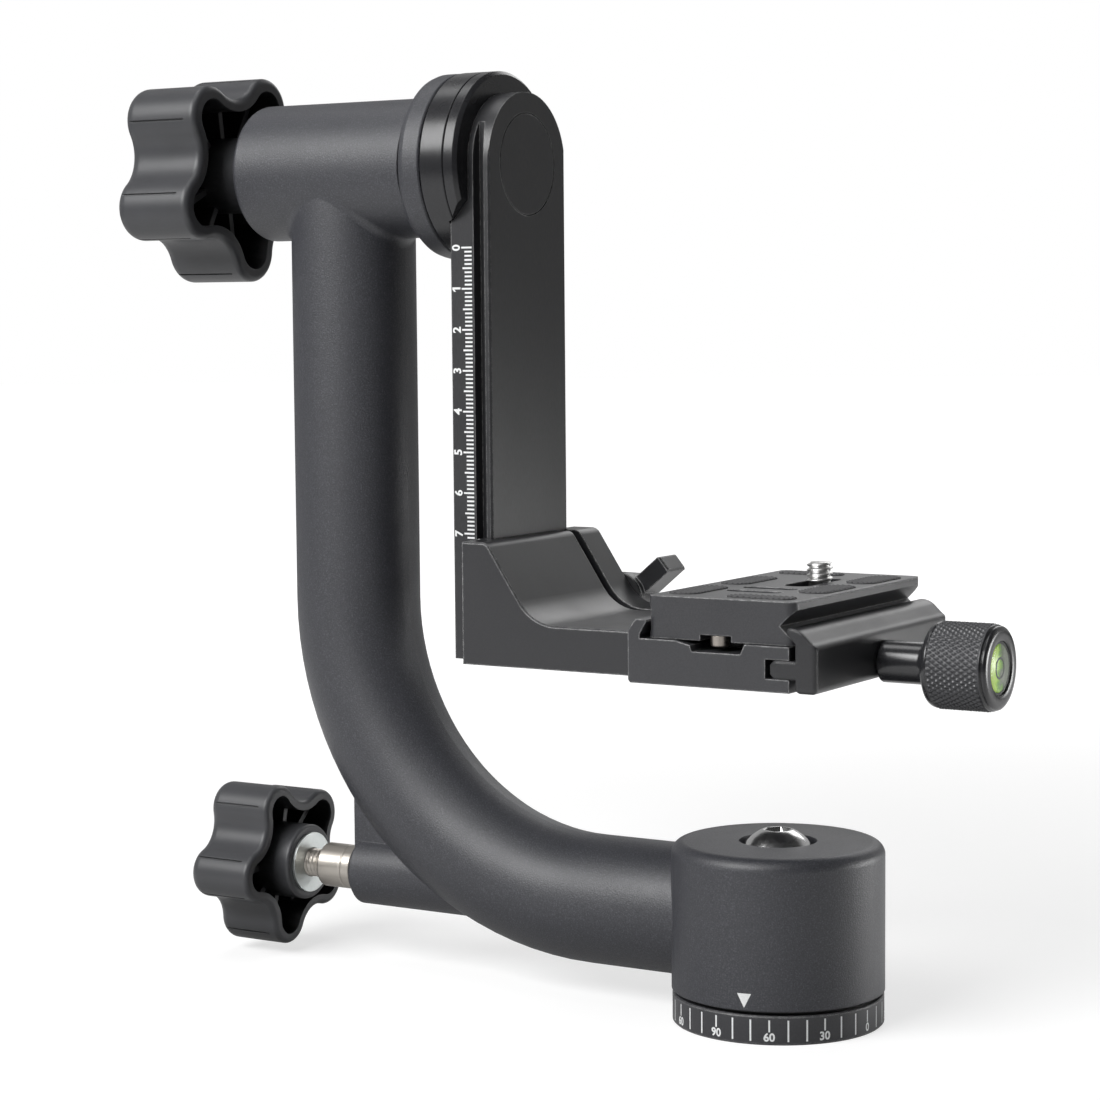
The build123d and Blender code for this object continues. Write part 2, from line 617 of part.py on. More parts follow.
def bracket_slab(y0, y1):
    """The bracket's XZ outline, with its swept inner corner, as a slab along Y."""
    slope = radians(BRACKET_SLOPE)
    run = (BRACKET_TOP_Z - BRACKET_FLOOR_Z) / tan(slope)
    heel_x = BRACKET_TOP_X + run
    tangent = BRACKET_SWEEP_R * tan(slope / 2)
    start = (heel_x - tangent * cos(slope), BRACKET_FLOOR_Z + tangent * sin(slope))
    end = (heel_x + tangent, BRACKET_FLOOR_Z)
    half = slope / 2
    centre = (end[0], BRACKET_FLOOR_Z + BRACKET_SWEEP_R)
    middle = (centre[0] - BRACKET_SWEEP_R * sin(half), centre[1] - BRACKET_SWEEP_R * cos(half))
    right = CLAMP_X[0] - 0.05

    def at(point):
        return (point[0], y0, point[1])

    corners = [(right, BRACKET_FLOOR_Z), (right, BRACKET_LOW_Z), (BRACKET_REAR_X, BRACKET_LOW_Z),
               (BRACKET_REAR_X, BRACKET_TOP_Z), (BRACKET_TOP_X, BRACKET_TOP_Z)]
    edges = [
        Line(at(start), at((BRACKET_TOP_X, BRACKET_TOP_Z))),
        ThreePointArc(at(start), at(middle), at(end)),
        Line(at(end), at(corners[0])),
    ]
    edges += [Line(at(a), at(b)) for a, b in zip(corners, corners[1:])]
    slab = extrude(Face(Wire(edges)), y1 - y0, dir=(0, 1, 0))
    brow = [e for e in slab.edges().filter_by(Axis.Y)
            if hypot(e.center().X - BRACKET_TOP_X, e.center().Z - BRACKET_TOP_Z) < 0.01]
    slab = fillet(brow, BRACKET_BROW_R)
    outer_y = y0 if abs(y0) > abs(y1) else y1
    rim = [e for e in slab.edges() if abs(e.center().Y - outer_y) < 0.01
           and e.center().Z > BRACKET_FLOOR_Z - 0.1 and e.center().X > BRACKET_REAR_X + 0.1]
    return chamfer(rim, BRACKET_EDGE)


def rail_lip(side):
    """Hook that fills the rail's groove on one side."""
    root = RAIL_HALF + 0.6
    tip = RAIL_HALF - GROOVE_DEPTH + GAP
    front = GROOVE_X[1] - GAP
    slant = GROOVE_SLANT * (root - tip) / GROOVE_DEPTH
    points = [(front + 0.25, root), (front + 0.25 - slant, tip), (GROOVE_X[0] + GAP, tip),
              (GROOVE_X[0] + GAP, RAIL_HALF - GAP), (BRACKET_REAR_X, root)]
    return slab_z([(x, side * y) for x, y in points], BRACKET_LOW_Z, BRACKET_TOP_Z)


def rail_channel():
    """Room for the rail's front bar behind the bracket's face."""
    return block((-90, RAIL_X[1] + GAP), (-RAIL_HALF - GAP, RAIL_HALF + GAP), (60, 140))


def bracket():
    """Main body: fixed hook on the rail, swept step and the leg that carries the clamp."""
    body = bracket_slab(*BRACKET_Y) - rail_channel() + rail_lip(-1)
    body -= rod_y(LEVER_SCREW_R + RUN, LEVER_SCREW_Y[0] - 0.6, 20, LEVER_X, LEVER_Z)
    body -= rod_y(JAW_SPRING_R + 0.2, JAW_SPRING_Y - 0.1, 20, LEVER_X, LEVER_Z)
    for x, z in JAW_PINS:
        body -= rod_y(JAW_PIN_R + SNUG, JAW_PIN_Y[0] - 0.1, 20, x, z)
    for side in (-1, 1):
        body -= rod_x(CLAMP_BOLT_R + RUN, CLAMP_BOLT_X[0] - 0.7, -19, side * CLAMP_BOLT_Y, CLAMP_BOLT_Z)
    return body


def bracket_jaw():
    """Movable jaw that closes on the rail's other groove."""
    jaw = bracket_slab(*BRACKET_JAW_Y) - rail_channel() + rail_lip(1)
    jaw -= rod_y(LEVER_SCREW_R + 0.2, 10, 30, LEVER_X, LEVER_Z)
    for x, z in JAW_PINS:
        jaw -= rod_y(JAW_PIN_R + RUN, 10, JAW_PIN_Y[1] + 0.6, x, z)
    return jaw


def jaw_pins():
    return [rod_y(JAW_PIN_R, *JAW_PIN_Y, x, z) for x, z in JAW_PINS]


def jaw_spring():
    """Short spring that opens the jaw, as its outer tube."""
    y0 = JAW_SPRING_Y
    y1 = BRACKET_JAW_Y[0] - 0.1
    spring = rod_y(JAW_SPRING_R, y0, y1, LEVER_X, LEVER_Z)
    return spring - rod_y(LEVER_SCREW_R + 0.2, y0 - 1, y1 + 1, LEVER_X, LEVER_Z)


def lever_screw():
    return rod_y(LEVER_SCREW_R, *LEVER_SCREW_Y, LEVER_X, LEVER_Z)


def lever_washer():
    y0 = BRACKET_JAW_Y[1] + RUN
    washer = rod_y(LEVER_WASHER_R, y0, y0 + 0.8, LEVER_X, LEVER_Z)
    return washer - rod_y(LEVER_SCREW_R + RUN, y0 - 1, y0 + 2, LEVER_X, LEVER_Z)


def clamp_lever():
    """Tapered hub with one flat blade that rises away from the jaw."""
    y0 = BRACKET_JAW_Y[1] + 0.9
    y1 = y0 + LEVER_HUB_LENGTH
    hub = turned_y([
        (0, y0), (LEVER_HUB_R, y0), (LEVER_HUB_R, y0 + 2.2), (LEVER_HUB_R - 0.9, y1 - 1.0),
        (LEVER_HUB_R - 1.9, y1), (0, y1),
    ])
    blade = block((0, LEVER_REACH), (y0 + 1.6, y1 - 0.2), LEVER_BLADE_Z)
    blade = chamfer(blade.edges().group_by(Axis.X)[-1], 0.5)
    lever = Pos(LEVER_X, 0, LEVER_Z) * (hub + Rot(0, -LEVER_RISE, 0) * blade)
    return lever - rod_y(LEVER_SCREW_R + SNUG, y0 - 1, LEVER_SCREW_Y[1] + 0.2, LEVER_X, LEVER_Z)


# ---- quick release clamp --------------------------------------------------------------

def stop_scoops():
    """Slope-sided scoops at both ends of the clamp's floor, for the plate's stop screws."""
    floor = CLAMP_FLOOR_Z - SCOOP_DEPTH
    above = CLAMP_FLOOR_Z + 1
    scoop = slab_y([
        (SCOOP_X[0], floor), (SCOOP_X[1], floor), (SCOOP_MOUTH_X[1], CLAMP_FLOOR_Z),
        (SCOOP_MOUTH_X[1], above), (SCOOP_MOUTH_X[0], above), (SCOOP_MOUTH_X[0], CLAMP_FLOOR_Z),
        (SCOOP_X[0] - 0.6, CLAMP_FLOOR_Z - 0.9),
    ], -CLAMP_HALF - 1, -SCOOP_END_Y)
    return mirrored_y(scoop)


def clamp_body():
    """Extruded clamp: fixed jaw, flat floor and the slot for the moving jaw's tongue."""
    left, right = CLAMP_X
    low, high = TONGUE_Z
    edge = 0.6
    wall = -17.3
    body = slab_y([
        (left, CLAMP_LOW_Z + edge), (left, 96.6), (-18.4, CLAMP_LIP_Z), (-15.9, CLAMP_LIP_Z), (-15.5, 98.9),
        (wall, 95.9), (wall, CLAMP_FLOOR_Z), (right, CLAMP_FLOOR_Z), (right, high), (TONGUE_SLOT_X, high),
        (TONGUE_SLOT_X, low), (right, low), (right, CLAMP_LOW_Z), (left + edge, CLAMP_LOW_Z),
    ], -CLAMP_HALF, CLAMP_HALF)
    body -= stop_scoops()
    body -= rod_x(QR_SCREW_R + RUN, QR_SCREW_X[0] - 1, right + 1, 0, QR_AXIS_Z)
    rod_height = sum(TONGUE_Z) / 2
    for side in (-1, 1):
        body -= rod_x(QR_ROD_R + SNUG, QR_ROD_X[0] - 0.2, right, side * QR_ROD_Y, rod_height)
        body -= rod_x(QR_SPRING_R + 0.1, QR_SPRING_X[0] - 0.1, right, side * QR_ROD_Y, rod_height)
        bolt_y = side * CLAMP_BOLT_Y
        body -= rod_x(CLAMP_BOLT_R + RUN, left - 1, right, bolt_y, CLAMP_BOLT_Z)
        body -= rod_x(CLAMP_BOLT_HEAD_R + 0.1, CLAMP_BOLT_X[1] - 0.1, right + 1, bolt_y, CLAMP_BOLT_Z)
    return body


def clamp_bolts():
    """Long cap screws that hold the clamp to the bracket's leg."""
    tip, seat, face = CLAMP_BOLT_X
    bolts = []
    for side in (-1, 1):
        y = side * CLAMP_BOLT_Y
        floor = Plane(origin=(face - 2.2, y, CLAMP_BOLT_Z), z_dir=(1, 0, 0))
        socket = extrude(floor * RegularPolygon(1.5, 6), 4)
        head = rod_x(CLAMP_BOLT_HEAD_R, seat, face, y, CLAMP_BOLT_Z) - socket
        bolts.append(head + rod_x(CLAMP_BOLT_R, tip, seat + 0.1, y, CLAMP_BOLT_Z))
    return bolts


def qr_guide_rods():
    z = sum(TONGUE_Z) / 2
    return [rod_x(QR_ROD_R, *QR_ROD_X, side * QR_ROD_Y, z) for side in (-1, 1)]


def qr_springs():
    """Springs that push the moving jaw open, as their outer tubes."""
    z = sum(TONGUE_Z) / 2
    return [ring_x(QR_SPRING_R, QR_ROD_R + RUN, *QR_SPRING_X, side * QR_ROD_Y, z) for side in (-1, 1)]


def qr_jaw():
    """Moving jaw: a lip that meets the plate's lower flank and a tongue in the body's slot."""
    inner, outer = QR_JAW_X
    flank = PLATE_X[1] + PLATE_NOTCH_Z - PLATE_NOTCH + QR_JAW_GAP
    low, high = TONGUE_Z[0] + 0.12, TONGUE_Z[1] - 0.12
    corner = 1.2
    soft = 0.35
    slope_top, slope_foot = (24.3, 98.2), (26.7, 95.95)
    lip, tip = (21.0, 99.2), 20.6

    def at(point):
        return (point[0], -CLAMP_HALF, point[1])

    edges = [
        ThreePointArc(at(slope_top), at((22.7, 99.0)), at(lip)),
        Line(at(slope_foot), at(slope_top)),
        ThreePointArc(at((outer, QR_JAW_FACE_Z)), at((27.45, 95.35)), at(slope_foot)),
        Line(at((outer, CLAMP_LOW_Z + corner)), at((outer, QR_JAW_FACE_Z))),
        ThreePointArc(at((outer - corner, CLAMP_LOW_Z)), at((outer - soft, CLAMP_LOW_Z + soft)),
                      at((outer, CLAMP_LOW_Z + corner))),
    ]
    inside = [
        lip, (tip, 98.8), (tip, flank - tip), (inner, flank - inner), (inner, high),
        (TONGUE_TIP_X + 1, high), (TONGUE_TIP_X, high - 1), (TONGUE_TIP_X, low + 1), (TONGUE_TIP_X + 1, low),
        (inner, low), (inner, CLAMP_LOW_Z + 0.8), (inner + 0.8, CLAMP_LOW_Z), (outer - corner, CLAMP_LOW_Z),
    ]
    edges += [Line(at(a), at(b)) for a, b in zip(inside, inside[1:])]
    jaw = extrude(Face(Wire(edges)), 2 * CLAMP_HALF, dir=(0, 1, 0))
    jaw = fillet(jaw.edges().filter_by(Axis.Z).group_by(Axis.X)[-1], 0.9)
    jaw -= block((10, inner), (-5, 5), (low - 1, high + 1))
    jaw -= rod_x(QR_SCREW_R + 0.3, 10, 40, 0, QR_AXIS_Z)
    for side in (-1, 1):
        jaw -= rod_x(QR_ROD_R + RUN, 10, QR_ROD_X[1] + 1.2, side * QR_ROD_Y, sum(TONGUE_Z) / 2)
    return jaw


def qr_screw():
    return rod_x(QR_SCREW_R, *QR_SCREW_X, 0, QR_AXIS_Z)


def qr_knob():
    """Knob with a plain stem, a knurled grip and a rounded end ring around the level."""
    x0, x1 = QR_KNOB_X
    g0, g1 = QR_GRIP_X
    r = QR_KNOB_R
    stem = QR_JAW_X[1] + RUN
    knob = turned_x([
        (stem, 0), (stem, QR_STEM_R - 0.3), (stem + 0.3, QR_STEM_R), (x0, QR_STEM_R),
        (x0 + 0.9, QR_STEM_R + 0.7), (x0 + 1.8, QR_STEM_R + 2.2), (x0 + 2.3, r - 1.0), (x0 + 2.8, r - 0.4),
        (g0 - 0.4, r - 0.2), (g0, r), (g1, r), (g1 + 0.2, r - 0.2), (g1 + 0.6, r - 0.4), (g1 + 0.7, r - 0.8),
        (g1 + 0.95, r - 0.8), (g1 + 1.05, r - 0.5), (x1 - 0.4, r - 0.75), (x1, r - 1.2), (x1, 0),
    ], QR_AXIS_Z)
    knob -= rod_x(QR_SCREW_R + SNUG, stem - 1, QR_SCREW_X[1] + 0.1, 0, QR_AXIS_Z)
    return knob - rod_x(LEVEL_R + RUN, x1 - 4.2, x1 + 1, 0, QR_AXIS_Z)


def level_cup():
    """Shallow cup behind the level's fluid."""
    x1 = QR_KNOB_X[1]
    cup = rod_x(LEVEL_R, x1 - 4.1, x1 - 0.5, 0, QR_AXIS_Z)
    return cup - rod_x(LEVEL_R - 0.5, x1 - 3.4, x1, 0, QR_AXIS_Z)


def level_vial():
    """Round bubble level."""
    x1 = QR_KNOB_X[1]
    x0 = x1 - 3.35
    r = LEVEL_R - 0.55
    return turned_x([(x0, 0), (x0, r), (x1 - 0.7, r), (x1 - 0.4, r - 0.5), (x1 - 0.25, 0)], QR_AXIS_Z)


# ---- quick release plate --------------------------------------------------------------

def pad_slots(height, shrink=0.0):
    """The six pad recesses: three and, turned half a turn about the middle, three more."""
    middle = sum(PLATE_X) / 2
    low = PLATE_Z[1] - PAD_RECESS
    shapes = []
    for (x0, x1), (y0, y1), along_y in PADS:
        x = (x0 + shrink, x1 - shrink)
        y = (y0 + shrink, y1 - shrink)
        pad = slot_z(x, y, (low + shrink, low + height), along_y)
        shapes.append(pad)
        shapes.append(Pos(middle, 0, 0) * Rot(0, 0, 180) * Pos(-middle, 0, 0) * pad)
    return shapes


def plate():
    """Dovetail plate with a V notch down each side, pads, slots and the camera screw's channel."""
    x0, x1 = PLATE_X
    z0, z1 = PLATE_Z
    tip = PLATE_NOTCH_Z
    section = [
        (x0 + 0.4, z0), (x1 - 0.4, z0), (x1, z0 + 0.4), (x1, tip - PLATE_NOTCH), (x1 - PLATE_NOTCH, tip),
        (x1, tip + PLATE_NOTCH), (x1, z1 - 0.4), (x1 - 0.4, z1), (x0 + 0.4, z1), (x0, z1 - 0.4),
        (x0, tip + PLATE_NOTCH), (x0 + PLATE_NOTCH, tip), (x0, tip - PLATE_NOTCH), (x0, z0 + 0.4),
    ]
    body = slab_y(section, -PLATE_HALF, PLATE_HALF)
    fill_x, fill_length = PLATE_END_FILL
    fill_y = (-PLATE_HALF, fill_length - PLATE_HALF)
    body += block((fill_x, x0 + PLATE_NOTCH + 1), fill_y, (z0, tip + PLATE_NOTCH))
    plan = Pos(sum(PLATE_X) / 2, 0, z0 - 1) * RectangleRounded(x1 - x0, 2 * PLATE_HALF, PLATE_CORNER_R)
    body &= extrude(plan, z1 - z0 + 2)
    body -= pad_slots(5)
    x, y = CAMERA_SCREW
    body -= slot_z((x - CAMERA_SLOT_HALF, x + CAMERA_SLOT_HALF), CAMERA_SLOT_Y, (z0 - 1, z1 + 1), True)
    body -= slot_z((x - 7.2, x + 7.2), (CAMERA_SLOT_Y[0] - 3.3, CAMERA_SLOT_Y[1] + 4), (z0 - 1, 99.5), True)
    body -= slot_z((-4.7, 9.5), (-18.6, -14.4), (z0 - 1, z1 + 1), False)
    body -= slot_z((-4.7, 9.5), (-10.4, -6.1), (z0 - 1, z1 + 1), False)
    notch = block((STOP_X - 4, STOP_X + 4), (-40, -29.4), (z0 - 1, z0 + 1.4))
    hole = rod_z(STOP_STEM_R + RUN, z0, STOP_Z[2] + 0.2, STOP_X, -STOP_Y)
    body -= mirrored_y(notch) + mirrored_y(hole)
    return body


def stop_screws():
    """Cap screws under both ends of the plate that keep it from sliding out."""
    low, seat, tip = STOP_Z
    screws = []
    for side in (-1, 1):
        head = rod_z(STOP_HEAD_R, low, seat, STOP_X, side * STOP_Y)
        head = chamfer(head.edges().group_by(Axis.Z)[0], 0.3)
        socket = extrude(Pos(STOP_X, side * STOP_Y, low - 0.1) * RegularPolygon(1.1, 6), 1.4)
        screws.append(head - socket + rod_z(STOP_STEM_R, seat - 0.1, tip, STOP_X, side * STOP_Y))
    return screws


def camera_screw():
    """Quarter inch screw: a slotted head below, a thinner neck in the slot, the thread above."""
    x, y = CAMERA_SCREW
    head = rod_z(6.3, 95.5, 98.3, x, y)
    head -= block((x - 8, x + 8), (y - 0.8, y + 0.8), (95, 96.7))
    neck = rod_z(CAMERA_NECK_R, 98.2, PLATE_Z[1] + 0.2, x, y)
    thread = rod_z(CAMERA_SCREW_R, PLATE_Z[1] + 0.1, CAMERA_SCREW_TOP, x, y)
    thread = chamfer(thread.edges().group_by(Axis.Z)[-1], 0.5)
    return head + neck + thread


def screw_retainer():
    """Nylon washer that keeps the camera screw in its slot."""
    x, y = CAMERA_SCREW
    return rod_z(6.0, 98.4, 99.4, x, y) - rod_z(CAMERA_NECK_R + RUN, 95, 105, x, y)


# ---- all sub-parts --------------------------------------------------------------------

def build():
    parts = {
        "base_dial": base_dial(), "tripod_bush": tripod_bush(), "pan_glide_ring": pan_glide_ring(),
        "pan_washer": pan_washer(), "pan_screw": pan_screw(), "main_arm": main_arm(), "pan_bush": pan_bush(),
        "bearing_spacer": bearing_spacer(), "bearing_circlip": bearing_circlip(),
        "pivot_shaft": pivot_shaft(), "friction_disc": friction_disc(), "pivot_hub": pivot_hub(),
        "pivot_bolt": pivot_bolt(), "axis_cap": axis_cap(), "swing_rail": swing_rail(),
        "bracket": bracket(), "bracket_jaw": bracket_jaw(), "jaw_pins": jaw_pins(),
        "jaw_spring": jaw_spring(), "lever_screw": lever_screw(), "lever_washer": lever_washer(),
        "clamp_lever": clamp_lever(),
        "clamp_body": clamp_body(), "clamp_bolts": clamp_bolts(), "qr_guide_rods": qr_guide_rods(),
        "qr_springs": qr_springs(), "qr_jaw": qr_jaw(), "qr_screw": qr_screw(), "qr_knob": qr_knob(),
        "level_cup": level_cup(), "level_vial": level_vial(), "plate": plate(),
        "plate_pads": pad_slots(PAD_RECESS + PAD_PROUD, RUN), "stop_screws": stop_screws(),
        "camera_screw": camera_screw(), "screw_retainer": screw_retainer(),
    }
    parts.update(pan_lock_parts())
    parts.update(tilt_lock_parts())
    parts.update(bearings())
    return parts


def write(name, shape):
    solids = []
    for item in (shape if isinstance(shape, (list, tuple)) else [shape]):
        solids += item.solids()
    node = Compound(children=solids) if len(solids) > 1 else solids[0]
    export_step(node, f"parts/{name}.step")


os.makedirs("parts", exist_ok=True)
for part_name, part_shape in build().items():
    write(part_name, part_shape)
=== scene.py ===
from math import ceil, cos, hypot, pi, radians, sin, sqrt

import bpy
from mathutils import Matrix, Vector


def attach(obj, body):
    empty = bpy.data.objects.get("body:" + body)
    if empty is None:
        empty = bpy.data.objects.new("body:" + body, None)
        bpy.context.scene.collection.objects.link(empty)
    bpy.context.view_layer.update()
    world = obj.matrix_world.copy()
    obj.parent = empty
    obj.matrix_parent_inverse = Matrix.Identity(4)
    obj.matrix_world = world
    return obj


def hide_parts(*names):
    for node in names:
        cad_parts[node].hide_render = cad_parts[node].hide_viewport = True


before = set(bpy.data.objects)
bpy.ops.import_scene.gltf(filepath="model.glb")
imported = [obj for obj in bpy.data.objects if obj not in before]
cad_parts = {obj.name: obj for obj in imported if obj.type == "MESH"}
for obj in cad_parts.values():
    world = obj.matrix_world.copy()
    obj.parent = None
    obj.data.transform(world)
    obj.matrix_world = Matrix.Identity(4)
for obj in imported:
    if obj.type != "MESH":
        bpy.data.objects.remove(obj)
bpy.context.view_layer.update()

MM = 0.001

# ---- sizes repeated from the solids, millimetres --------------------------------------

BASE_R = 25.4
HOUSING_R = 25.6
RAIL_HALF = 17.7
QR_AXIS_Z = 88.3
QR_END_X = 57.0
PLATE_TOP_Z = 104.9
CAMERA_SCREW = (5.0, 12.5)


# ---- node helpers ---------------------------------------------------------------------

BEVEL_SAMPLES = 4
OCCLUSION_SAMPLES = 8
HOLLOW_REACH = 0.022


def new_material(name):
    """A material with its node tree and its shader."""
    material = bpy.data.materials.new(name)
    material.use_nodes = True
    tree = material.node_tree
    return material, tree, tree.nodes["Principled BSDF"]


def object_coordinates(tree):
    """Position in the object's own metres."""
    return tree.nodes.new("ShaderNodeTexCoord").outputs["Object"]


def noise(tree, scale, detail=3.0, rough=0.55, stretch=None):
    """Noise in the object's own metres; stretch squeezes it along chosen axes."""
    node = tree.nodes.new("ShaderNodeTexNoise")
    node.inputs["Scale"].default_value = scale
    node.inputs["Detail"].default_value = detail
    node.inputs["Roughness"].default_value = rough
    source = object_coordinates(tree)
    if stretch:
        mapping = tree.nodes.new("ShaderNodeMapping")
        mapping.inputs["Scale"].default_value = stretch
        tree.links.new(source, mapping.inputs["Vector"])
        source = mapping.outputs["Vector"]
    tree.links.new(source, node.inputs["Vector"])
    return node.outputs["Fac"]


def ramp(tree, value, stops):
    """Colour or grey steps, as (position, value or colour) pairs."""
    node = tree.nodes.new("ShaderNodeValToRGB")
    tree.links.new(value, node.inputs["Fac"])
    elements = node.color_ramp.elements
    while len(elements) < len(stops):
        elements.new(0.5)
    for element, (place, colour) in zip(elements, stops):
        element.position = place
        if not isinstance(colour, (tuple, list)):
            colour = (colour, colour, colour)
        element.color = (*colour[:3], 1.0)
    return node.outputs["Color"]


def math_node(tree, operation, *values):
    """A Math node; a value is a number or another node's output."""
    node = tree.nodes.new("ShaderNodeMath")
    node.operation = operation
    for socket, value in zip(node.inputs, values):
        if isinstance(value, (int, float)):
            socket.default_value = value
        else:
            tree.links.new(value, socket)
    return node.outputs[0]


def fade(tree, value, start, end, low, high):
    """Smooth step of a value from low at start to high at end."""
    node = tree.nodes.new("ShaderNodeMapRange")
    node.interpolation_type = "SMOOTHSTEP"
    limits = {"From Min": start, "From Max": end, "To Min": low, "To Max": high}
    for name, number in limits.items():
        node.inputs[name].default_value = number
    tree.links.new(value, node.inputs["Value"])
    return node.outputs["Result"]


def mixed(tree, share, first, second):
    """Colour that goes from first to second with share; the node's colour sockets go by number."""
    node = tree.nodes.new("ShaderNodeMix")
    node.data_type = "RGBA"
    tree.links.new(share, node.inputs[0])
    tree.links.new(first, node.inputs[6])
    node.inputs[7].default_value = second
    return node.outputs[2]


def bump(tree, height, strength, distance, normal=None):
    """Small relief from a height, on top of a normal that is already bent."""
    node = tree.nodes.new("ShaderNodeBump")
    node.inputs["Strength"].default_value = strength
    node.inputs["Distance"].default_value = distance
    tree.links.new(height, node.inputs["Height"])
    if normal is not None:
        tree.links.new(normal, node.inputs["Normal"])
    return node.outputs["Normal"]


def soft_edges(tree, radius):
    """Rounded look of machined edges."""
    node = tree.nodes.new("ShaderNodeBevel")
    node.samples = BEVEL_SAMPLES
    node.inputs["Radius"].default_value = radius
    return node.outputs["Normal"]


def worn_and_highlit_edges(tree, radius):
    """0 on plain faces, up to 1 in broken spots along edges: rubbed-thin coating and a painted edge
    highlight.
    """
    rounded = soft_edges(tree, radius)
    geometry = tree.nodes.new("ShaderNodeNewGeometry")
    turn = tree.nodes.new("ShaderNodeVectorMath")
    turn.operation = "DOT_PRODUCT"
    tree.links.new(rounded, turn.inputs[0])
    tree.links.new(geometry.outputs["Normal"], turn.inputs[1])
    edge = ramp(tree, turn.outputs["Value"], [(0.84, 1.0), (0.96, 0.0)])
    spots = ramp(tree, noise(tree, 700, 3.0, 0.7), [(0.4, 0.3), (0.6, 1.0)])
    return math_node(tree, "MULTIPLY", edge, spots)


def painted_hollow_shade(tree):
    """0 on open faces, up to 1 down in the moulding's hollows, where painted shade gathers."""
    node = tree.nodes.new("ShaderNodeAmbientOcclusion")
    node.samples = OCCLUSION_SAMPLES
    node.inputs["Distance"].default_value = HOLLOW_REACH
    return ramp(tree, node.outputs["AO"], [(0.25, 1.0), (0.6, 0.0)])


# ---- materials ------------------------------------------------------------------------

WORN_HIGHLIT_WIDTH = 0.0006
# colour of the painted shade deep in the moulding's hollows
PAINTED_SHADE_TONE = (0.014, 0.014, 0.015, 1)


def powder_coat():
    """Textured dark grey powder coat with a fine sparkle."""
    material, tree, shader = new_material("powder_coat")
    speckle = noise(tree, 2800, 2.0, 0.6)
    broad = noise(tree, 45, 2.0)
    grains = ramp(tree, speckle, [(0.36, (0.024, 0.025, 0.03)), (0.56, (0.036, 0.037, 0.044)),
                                  (0.74, (0.07, 0.071, 0.082))])
    tree.links.new(grains, shader.inputs["Base Color"])
    tree.links.new(ramp(tree, broad, [(0.3, 0.44), (0.7, 0.5)]), shader.inputs["Roughness"])
    rounded = soft_edges(tree, 0.0004)
    tree.links.new(bump(tree, speckle, 0.5, 0.00014, rounded), shader.inputs["Normal"])
    shader.inputs["Specular IOR Level"].default_value = 0.65
    return material


def anodised(name="anodised", tone=0.022, rough=0.36, grain=(1, 1, 1), radius=0.00035,
             gloss=0.6, edge_wear_and_highlight=0.0):
    """Black anodised aluminium with the faint grain of bead blasting; its edges are lightened by wear and
    a painted edge highlight.
    """
    material, tree, shader = new_material(name)
    fine = noise(tree, 5200, 2.0, 0.6, grain)
    broad = noise(tree, 60, 3.0)
    colour = ramp(tree, fine, [(0.35, (tone * 0.8, tone * 0.81, tone * 0.9)),
                               (0.7, (tone * 1.35, tone * 1.36, tone * 1.5))])
    if edge_wear_and_highlight:
        # wear and painted highlight: the edges turn towards a light grey
        colour = mixed(tree, worn_and_highlit_edges(tree, WORN_HIGHLIT_WIDTH), colour, (edge_wear_and_highlight, edge_wear_and_highlight, edge_wear_and_highlight, 1))
    tree.links.new(colour, shader.inputs["Base Color"])
    patches = ramp(tree, broad, [(0.3, rough - 0.03), (0.7, rough + 0.04)])
    tree.links.new(patches, shader.inputs["Roughness"])
    tree.links.new(bump(tree, fine, 0.18, 0.00005, soft_edges(tree, radius)), shader.inputs["Normal"])
    shader.inputs["Specular IOR Level"].default_value = gloss
    return material


def moulded(name="knob_plastic", tone=0.045, rough=0.42):
    """Moulded dark grey plastic with a soft even sheen and painted shade in its hollows."""
    material, tree, shader = new_material(name)
    fine = noise(tree, 2600, 3.0, 0.6)
    broad = noise(tree, 80, 2.0)
    colour = ramp(tree, broad, [(0.3, (tone * 0.92, tone * 0.94, tone * 1.02)),
                                (0.7, (tone * 1.08, tone * 1.1, tone * 1.2))])
    # painted shade: the colour darkens deep in the hollows
    shaded = mixed(tree, painted_hollow_shade(tree), colour, PAINTED_SHADE_TONE)
    tree.links.new(shaded, shader.inputs["Base Color"])
    grain = ramp(tree, fine, [(0.3, rough - 0.04), (0.7, rough + 0.05)])
    tree.links.new(grain, shader.inputs["Roughness"])
    tree.links.new(bump(tree, fine, 0.16, 0.00006, soft_edges(tree, 0.0003)), shader.inputs["Normal"])
    return material


def metal(name, colour, rough, turned=(1, 1, 1)):
    """Bare or plated metal with fine turning marks."""
    material, tree, shader = new_material(name)
    marks = noise(tree, 900, 4.0, 0.6, turned)
    darker = tuple(c * 0.9 for c in colour)
    tree.links.new(ramp(tree, marks, [(0.3, darker), (0.7, colour)]), shader.inputs["Base Color"])
    lines = ramp(tree, marks, [(0.3, rough * 0.8), (0.7, rough * 1.25)])
    tree.links.new(lines, shader.inputs["Roughness"])
    tree.links.new(bump(tree, marks, 0.12, 0.00003, soft_edges(tree, 0.0002)), shader.inputs["Normal"])
    shader.inputs["Metallic"].default_value = 1.0
    return material


def rubber():
    """Matt dark rubber."""
    material, tree, shader = new_material("pad_rubber")
    fine = noise(tree, 3000, 2.0)
    tree.links.new(ramp(tree, fine, [(0.3, (0.05, 0.05, 0.052)), (0.7, (0.085, 0.085, 0.088))]),
                   shader.inputs["Base Color"])
    tree.links.new(ramp(tree, fine, [(0.3, 0.62), (0.7, 0.75)]), shader.inputs["Roughness"])
    return material


def printed():
    """White screen-printed ink."""
    material, tree, shader = new_material("white_ink")
    fine = noise(tree, 4000, 2.0)
    tree.links.new(ramp(tree, fine, [(0.3, (0.72, 0.73, 0.73)), (0.7, (0.86, 0.87, 0.87))]),
                   shader.inputs["Base Color"])
    shader.inputs["Roughness"].default_value = 0.5
    return material


